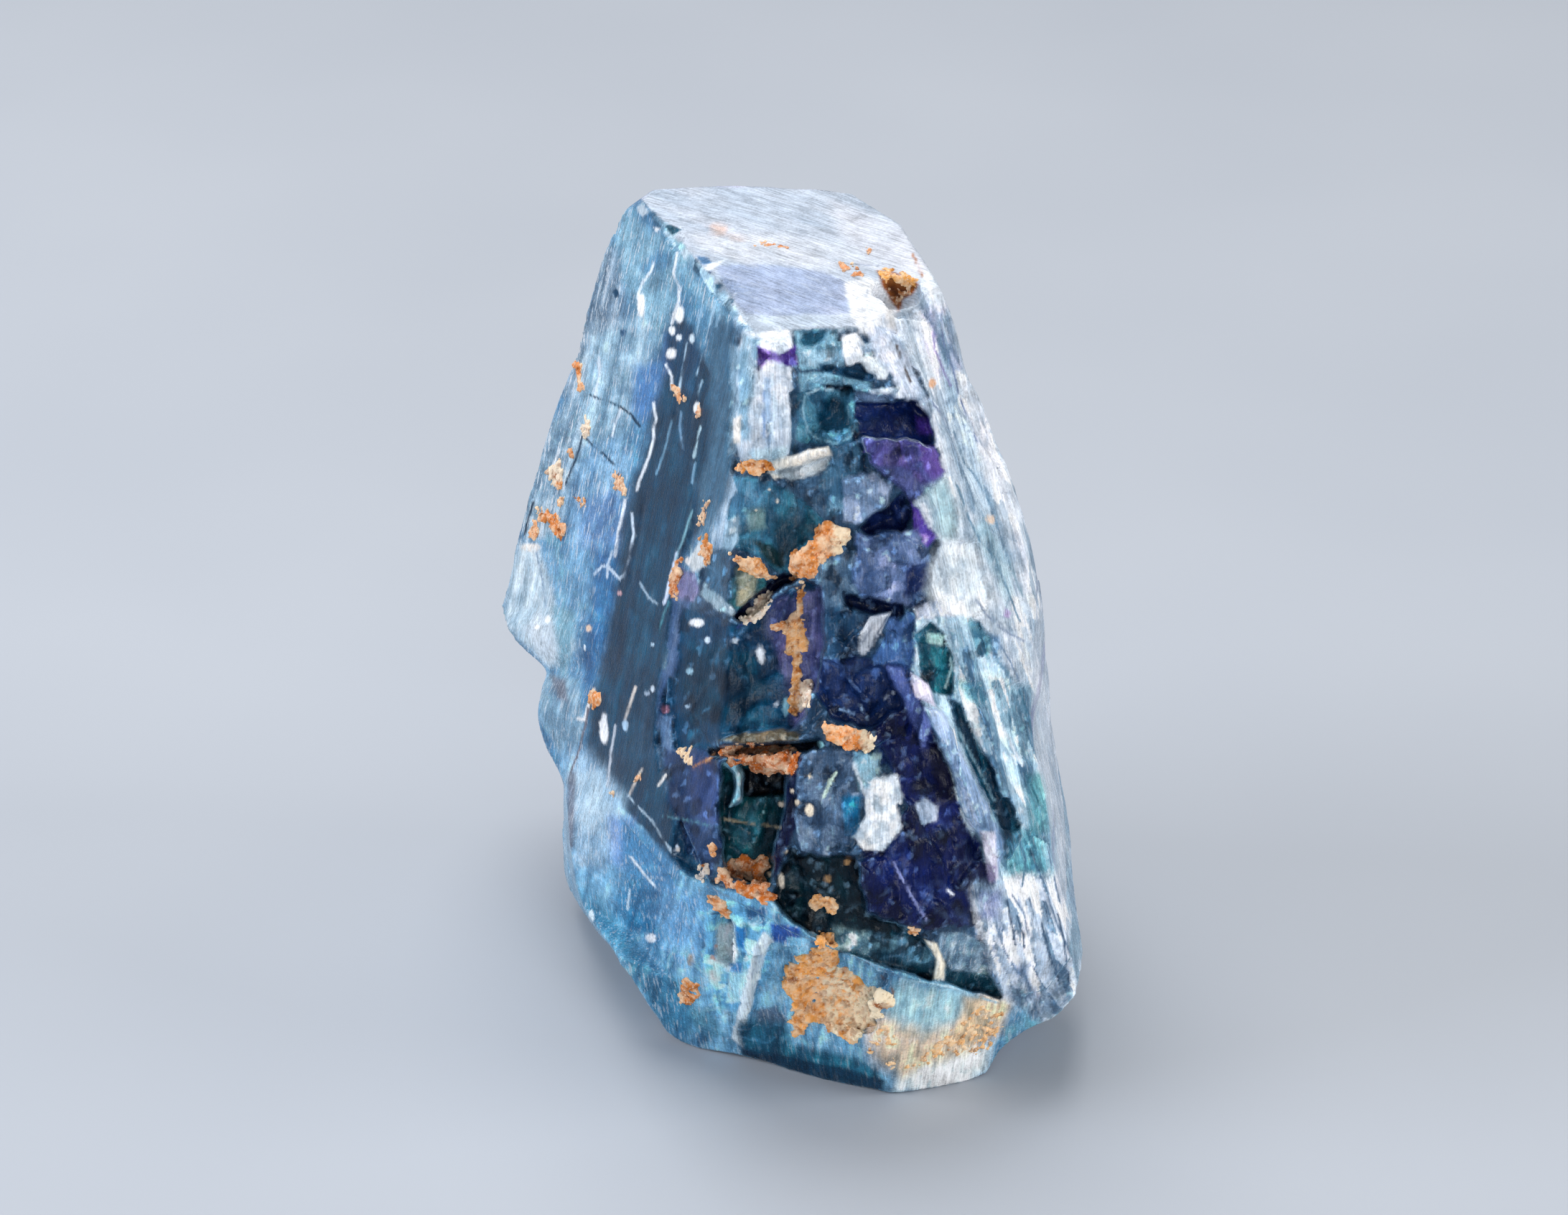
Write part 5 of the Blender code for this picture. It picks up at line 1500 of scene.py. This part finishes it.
def lay_clay(name, beds, tree, seed):
    """Lumps of clay pressed on to the crystal along the lines of sight, then fused."""
    rng = np.random.default_rng(seed)
    ball, faces = pebble(1)
    all_points, all_faces, middles, tints = [], [], [], []
    for text, tint, size, count, *patchy in beds:
        line = outline(text)
        for u, v in spots_in(line, count, *(patchy or (0.0,)), rng):
            line_of_sight = sight(u, v)
            hit, normal, _, _ = tree.ray_cast(Vector(EYE), Vector(line_of_sight))
            if hit is None:
                continue
            radius = size * rng.uniform(*LUMP_SIZE) ** LUMP_FAVOUR
            out = np.array(normal) * 0.5 - line_of_sight * 0.5
            form = ball * (1 + LUMP_UNEVEN * rng.standard_normal((len(ball), 1))) * radius
            flat = form - np.outer(form @ out, out) / (out @ out) * LUMP_FLAT
            middle = np.array(hit) + out * (radius * rng.uniform(*LUMP_SEAT))
            all_faces.append(faces + len(ball) * len(all_points))
            all_points.append(flat + middle)
            middles.append(middle)
            own = colour(tint)
            shades = (own, own * CLAY_DARKER, CREAM * 0.5 + own * 0.5, BROWN)
            tints.append(shades[rng.choice(len(shades), p=CLAY_SHARES)])
    obj = object_from(name, np.vstack(all_points), np.vstack(all_faces).tolist())
    remeshed(obj, CLAY_VOXEL)
    points, normals = places(obj.data), directions(obj.data)
    crumbs = 0.05 * grain(points, 0.16, seed) + 0.05 * grain(points, 0.35, seed + 1)
    move_to(obj.data, points + normals * crumbs[:, None])
    thinned(obj, CLAY_TRIANGLES)
    mesh = obj.data
    points = places(mesh)
    paint = nearest_tint(points, np.array(middles), np.array(tints))
    bend = sharpness(mesh, points, directions(mesh))
    # Painted shade darkens the hollows between lumps; the tips of lumps take cream, partly the clay's own
    # cream and partly a painted highlight.
    lay(paint, paint * CLAY_HOLLOW_SHADE, smooth(-bend, 0.05, 0.25))
    lay(paint, CREAM, 0.45 * smooth(bend, 0.18, 0.4))
    write_paint(mesh, paint)
    mesh.shade_smooth()
    return obj


def nearest_tint(points, middles, tints):
    """Each point takes the mean colour of the lumps that it lies between."""
    tree = KDTree(len(middles))
    for i, middle in enumerate(middles):
        tree.insert(Vector(middle), i)
    tree.balance()
    return np.array([tints[[i for _, i, _ in tree.find_n(Vector(p), 2)]].mean(axis=0) for p in points])


class Signal:
    """A value in a material. Arithmetic on it adds Math nodes."""

    def __init__(self, finish, socket):
        self.finish, self.socket = finish, socket

    def math(self, operation, *others):
        values = dict(enumerate((self, *others)))
        return self.finish.node("ShaderNodeMath", {"operation": operation}, values)

    def reflected(self, operation, other):
        return self.finish.node("ShaderNodeMath", {"operation": operation}, {0: other, 1: self})

    def __add__(self, other):
        return self.math("ADD", other)

    def __sub__(self, other):
        return self.math("SUBTRACT", other)

    def __rsub__(self, other):
        return self.reflected("SUBTRACT", other)

    def __mul__(self, other):
        return self.math("MULTIPLY", other)

    __radd__, __rmul__ = __add__, __mul__

    def between(self, low, high):
        """0 below one value, 1 above the other, and smooth between them."""
        how = {"interpolation_type": "SMOOTHSTEP"}
        return self.finish.node("ShaderNodeMapRange", how, {"Value": self, 1: low, 2: high})


class Finish:
    """A material that is built node by node."""

    def __init__(self, name):
        self.material = bpy.data.materials.new(name)
        self.material.use_nodes = True
        self.tree = self.material.node_tree
        self.tree.nodes.clear()
        self.end = self.tree.nodes.new("ShaderNodeOutputMaterial")
        self.place = self.node("ShaderNodeTexCoord", {}, {}, "Object")

    def node(self, kind, settings, values, output=0):
        made = self.tree.nodes.new(kind)
        for key, value in settings.items():
            setattr(made, key, value)
        for key, value in values.items():
            if isinstance(value, Signal):
                self.tree.links.new(value.socket, made.inputs[key])
            else:
                made.inputs[key].default_value = value
        return Signal(self, made.outputs[output])

    def surface(self, values):
        return self.node("ShaderNodeBsdfPrincipled", {}, values)

    def noise(self, size, detail=3.0, roughness=0.5, stretch=(1, 1, 1), place=None):
        """Noise with lumps `size` millimetres across, longer where `stretch` is larger."""
        scale = tuple(1 / (size * MM * s) for s in stretch)
        values = {0: place or self.place, 1: scale}
        vector = self.node("ShaderNodeVectorMath", {"operation": "MULTIPLY"}, values)
        how = {"Vector": vector, "Scale": 1.0, "Detail": detail, "Roughness": roughness}
        return self.node("ShaderNodeTexNoise", {}, how)

    def attribute(self, name, output):
        return self.node("ShaderNodeAttribute", {"attribute_name": name}, {}, output)

    def mix(self, share, first, second):
        """One colour laid over another."""
        how = {"data_type": "RGBA", "blend_type": "MIX"}
        return self.node("ShaderNodeMix", how, {0: share, 6: first, 7: second}, 2)

    def scaled(self, tint, amount):
        """A colour made lighter or darker by a value."""
        return self.node("ShaderNodeVectorMath", {"operation": "SCALE"}, {0: tint, "Scale": amount})

    def bump(self, height, distance, strength):
        """Relief of a height in millimetres."""
        values = {"Height": height, "Distance": distance * MM, "Strength": strength}
        return self.node("ShaderNodeBump", {}, values)

    def show(self, surface, volume=None):
        self.tree.links.new(surface.socket, self.end.inputs["Surface"])
        if volume:
            self.tree.links.new(volume.socket, self.end.inputs["Volume"])
        return self.material


def linear(text):
    """A colour for a socket."""
    return (*colour(text).tolist(), 1.0)


# Fluorite as a finish: how strongly it bends light, how much light goes through its skin,
# how much it shines where it is clear and where it is bruised, what it absorbs, and the
# colours of pale and dark scratches and of pale flecks.
FLUORITE_IOR = 1.434
SKIN_CLEAR = 0.3
CLEAR_SHINE, BRUISED_SHINE = 0.1, 0.08
BRUISED_ROUGHNESS = 0.5
ABSORPTION_TINT, ABSORPTION = "#5E97D0", 110.0
SCRATCH_PALE, SCRATCH_DARK, FLECK_PALE = "#E6EFF8", "#24506F", "#EEF4FA"

# Clay as a finish: how strongly it bends light and how rough it is, then the colours of its
# stains, grains, pits and hollows.
CLAY_IOR = 1.45
CLAY_ROUGHNESS = 0.9
CLAY_STAIN, CLAY_GRAIN, CLAY_PIT, CLAY_CREVICE = "#FFE6C4", "#FFF2DE", "#D07420", "#8A4A1A"


def fluorite():
    """Clear blue and violet crystal: painted zones, growth lines, brushed scratches, bruises."""
    f = Finish("fluorite")
    paint = f.attribute("paint", "Color")
    frost = f.attribute("frost", "Fac")
    brush = f.attribute("brush", "Fac")
    fall = f.attribute("fall", "Vector")
    cloud = f.noise(1.1, 4.0, 0.62)
    fleck = f.noise(0.13, 3.0, 0.62)
    growth = f.noise(0.09, 2.0, 0.5, (1, 1, 16), fall)
    bristle = f.noise(0.15, 3.0, 0.66, (1, 1, 7), fall)
    bright = f.node("ShaderNodeRGBToBW", {}, {"Color": paint}).between(0.0, 0.3)
    tone = 1.0 + 1.0 * (cloud - 0.5) + (0.6 + 1.0 * brush) * (fleck - 0.5) + 1.3 * (growth - 0.5)
    zoned = f.scaled(paint, tone.math("MAXIMUM", 0.2))
    zoned = f.mix(brush * bristle.between(0.575, 0.61) * (0.04 + 0.86 * bright), zoned, linear(SCRATCH_PALE))
    zoned = f.mix(bristle.between(0.40, 0.34) * brush * 0.55, zoned, linear(SCRATCH_DARK))
    zoned = f.mix(fleck.between(0.66, 0.74) * bright * (0.2 + 0.4 * frost), zoned, linear(FLECK_PALE))
    relief = f.bump(fleck + 0.8 * growth + 0.6 * bristle, 0.03, 0.7)
    shine = 0.09 + 0.38 * frost + 0.2 * fleck.between(0.4, 0.7)
    skin_values = {"Base Color": zoned, "Normal": relief, "IOR": FLUORITE_IOR}
    clear_values = {"Roughness": shine, "Transmission Weight": SKIN_CLEAR, "Specular IOR Level": CLEAR_SHINE}
    bruised_values = {"Roughness": BRUISED_ROUGHNESS, "Specular IOR Level": BRUISED_SHINE}
    clear_skin = f.surface({**skin_values, **clear_values})
    bruised_skin = f.surface({**skin_values, **bruised_values})
    share = (frost * 1.3).math("MINIMUM", 1.0)
    both = f.node("ShaderNodeMixShader", {}, {0: share, 1: clear_skin, 2: bruised_skin})
    absorbed = {"Color": linear(ABSORPTION_TINT), "Density": ABSORPTION}
    return f.show(both, f.node("ShaderNodeVolumeAbsorption", {}, absorbed))


def limonite():
    """Iron-stained clay: dull orange and cream grains with brown hollows."""
    f = Finish("limonite")
    paint = f.attribute("paint", "Color")
    grains = f.noise(0.14, 4.0, 0.7)
    stain = f.noise(0.8, 3.0, 0.6)
    pits = f.noise(0.3, 3.0, 0.65)
    body = f.mix(stain.between(0.48, 0.64) * 0.5, paint, linear(CLAY_STAIN))
    body = f.mix(grains.between(0.54, 0.68) * 0.6, body, linear(CLAY_GRAIN))
    body = f.mix(pits.between(0.58, 0.68) * 0.35, body, linear(CLAY_PIT))
    body = f.mix(grains.between(0.39, 0.32) * 0.4, body, linear(CLAY_CREVICE))
    relief = f.bump(grains + 0.5 * pits, 0.07, 0.8)
    values = {"Base Color": body, "Roughness": CLAY_ROUGHNESS, "Normal": relief, "IOR": CLAY_IOR}
    return f.show(f.surface(values))


def plain(name, tint, roughness):
    """A dull finish of one colour that is hardly uneven."""
    f = Finish(name)
    uneven = f.noise(40.0, 2.0)
    base = f.mix(uneven.between(0.2, 0.8) * 0.05, linear(tint), linear("#FFFFFF"))
    return f.show(f.surface({"Base Color": base, "Roughness": roughness}))


def crumb_tree(material):
    """Geometry nodes that scatter small crumbs over a crust of clay."""
    tree = bpy.data.node_groups.new("clay_crumbs", "GeometryNodeTree")
    face = tree.interface
    face.new_socket("Geometry", in_out="INPUT", socket_type="NodeSocketGeometry")
    for name, kind in (("Density", "Float"), ("Smallest", "Float"), ("Largest", "Float"), ("Seed", "Int")):
        face.new_socket(name, in_out="INPUT", socket_type=f"NodeSocket{kind}")
    face.new_socket("Geometry", in_out="OUTPUT", socket_type="NodeSocketGeometry")

    def add(kind, **values):
        made = tree.nodes.new(kind)
        for key, value in values.items():
            setattr(made, key, value)
        return made

    start, end = add("NodeGroupInput"), add("NodeGroupOutput")
    spread = add("GeometryNodeDistributePointsOnFaces")
    ball = add("GeometryNodeMeshIcoSphere")
    ball.inputs["Subdivisions"].default_value = 1
    ball.inputs["Radius"].default_value = 1.0
    size = add("FunctionNodeRandomValue", data_type="FLOAT")
    turn = add("FunctionNodeRandomValue", data_type="FLOAT_VECTOR")
    turn.inputs["Max"].default_value = (math.tau, math.tau, math.tau)
    place = add("GeometryNodeInstanceOnPoints")
    real = add("GeometryNodeRealizeInstances")
    join = add("GeometryNodeJoinGeometry")
    finish = add("GeometryNodeSetMaterial")
    finish.inputs["Material"].default_value = material
    for source, out, sink, into in (
        (start, "Geometry", spread, "Mesh"),
        (start, "Density", spread, "Density"),
        (start, "Seed", spread, "Seed"),
        (start, "Smallest", size, 2),
        (start, "Largest", size, 3),
        (start, "Seed", size, "Seed"),
        (spread, "Points", place, "Points"),
        (ball, "Mesh", place, "Instance"),
        (turn, "Value", place, "Rotation"),
        (size, 1, place, "Scale"),
        (place, "Instances", real, "Geometry"),
        (start, "Geometry", join, "Geometry"),
        (real, "Geometry", join, "Geometry"),
        (join, "Geometry", finish, "Geometry"),
        (finish, "Geometry", end, "Geometry"),
    ):
        tree.links.new(source.outputs[out], sink.inputs[into])
    return tree


def strew(obj, tree, density, seed):
    """Scatters crumbs over a piece and makes the result a plain mesh."""
    mod = obj.modifiers.new("crumbs", "NODES")
    mod.node_group = tree
    ids = {item.name: item.identifier for item in tree.interface.items_tree if item.in_out == "INPUT"}
    mod[ids["Density"]] = density / MM**2
    mod[ids["Smallest"]] = CRUMB_SIZE[0] * MM
    mod[ids["Largest"]] = CRUMB_SIZE[1] * MM
    mod[ids["Seed"]] = seed
    return applied(obj)


# The studio: the floor, the room and the lamps. A lamp has a place and a size in
# millimetres, its power in watts and its colour, and all point at one height.
FLOOR_REACH, FLOOR_TINT, FLOOR_ROUGHNESS = 900, "#A9AEB6", 0.6
ROOM_TINT, ROOM_LIGHT = "#EEF2F8", 0.34
LAMPS = {
    "overhead": ((-40, 110, 330), 260, 0.92, "#FFFFFF"),
    "left_window": ((-320, -50, 190), 200, 0.85, "#F2F7FF"),
    "right_card": ((300, -60, 150), 160, 0.5, "#FFFFFF"),
    "front_fill": ((70, -330, 60), 170, 0.4, "#FFFFFF"),
}
LAMP_AIM = 18


def light(name, place, size, power, tint):
    lamp = bpy.data.lights.new(name, "AREA")
    lamp.shape, lamp.size, lamp.energy = "DISK", size * MM, power
    lamp.color = colour(tint).tolist()
    obj = added(name, lamp)
    obj.location = Vector(place) * MM
    aim = Vector((0, 0, LAMP_AIM * MM)) - obj.location
    obj.rotation_euler = aim.to_track_quat("-Z", "Y").to_euler()


def studio():
    """A pale floor, a pale room, soft lights and the camera."""
    corners = [(x * FLOOR_REACH, y * FLOOR_REACH, 0) for x, y in ((-1, -1), (1, -1), (1, 1), (-1, 1))]
    floor = object_from("floor", corners, [(0, 1, 2, 3)])
    dress(floor, plain("pale_floor", FLOOR_TINT, FLOOR_ROUGHNESS))
    world = bpy.data.worlds.new("room")
    bpy.context.scene.world = world
    world.use_nodes = True
    room = world.node_tree.nodes["Background"].inputs
    room["Color"].default_value = linear(ROOM_TINT)
    room["Strength"].default_value = ROOM_LIGHT
    for name, lamp in LAMPS.items():
        light(name, *lamp)
    lens = bpy.data.cameras.new("camera")
    lens.lens, lens.sensor_width, lens.sensor_fit = LENS, SENSOR, "HORIZONTAL"
    lens.clip_start, lens.clip_end = 0.01, 20.0
    camera = added("camera", lens)
    camera.location = Vector(EYE) * MM
    camera.rotation_euler = (math.radians(90 - ELEVATION), 0, 0)
    bpy.context.scene.camera = camera
    bpy.context.scene.view_settings.view_transform = "Standard"


def main():
    stone, clay = fluorite(), limonite()
    crystal = crystal_body()
    dress(crystal, stone)
    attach(crystal, "root")
    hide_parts(CRYSTAL)
    tree = ray_tree(crystal.data)
    crumbs = crumb_tree(clay)
    for seed, (node, beds) in enumerate(CLAY.items(), start=101):
        crust = lay_clay(node.replace("limonite", "clay"), beds, tree, seed)
        dress(crust, clay)
        strew(crust, crumbs, CRUMB_SHARE, seed)
        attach(crust, "root")
        if node != LOOSE_CLAY:
            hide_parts(node)
    studio()


main()
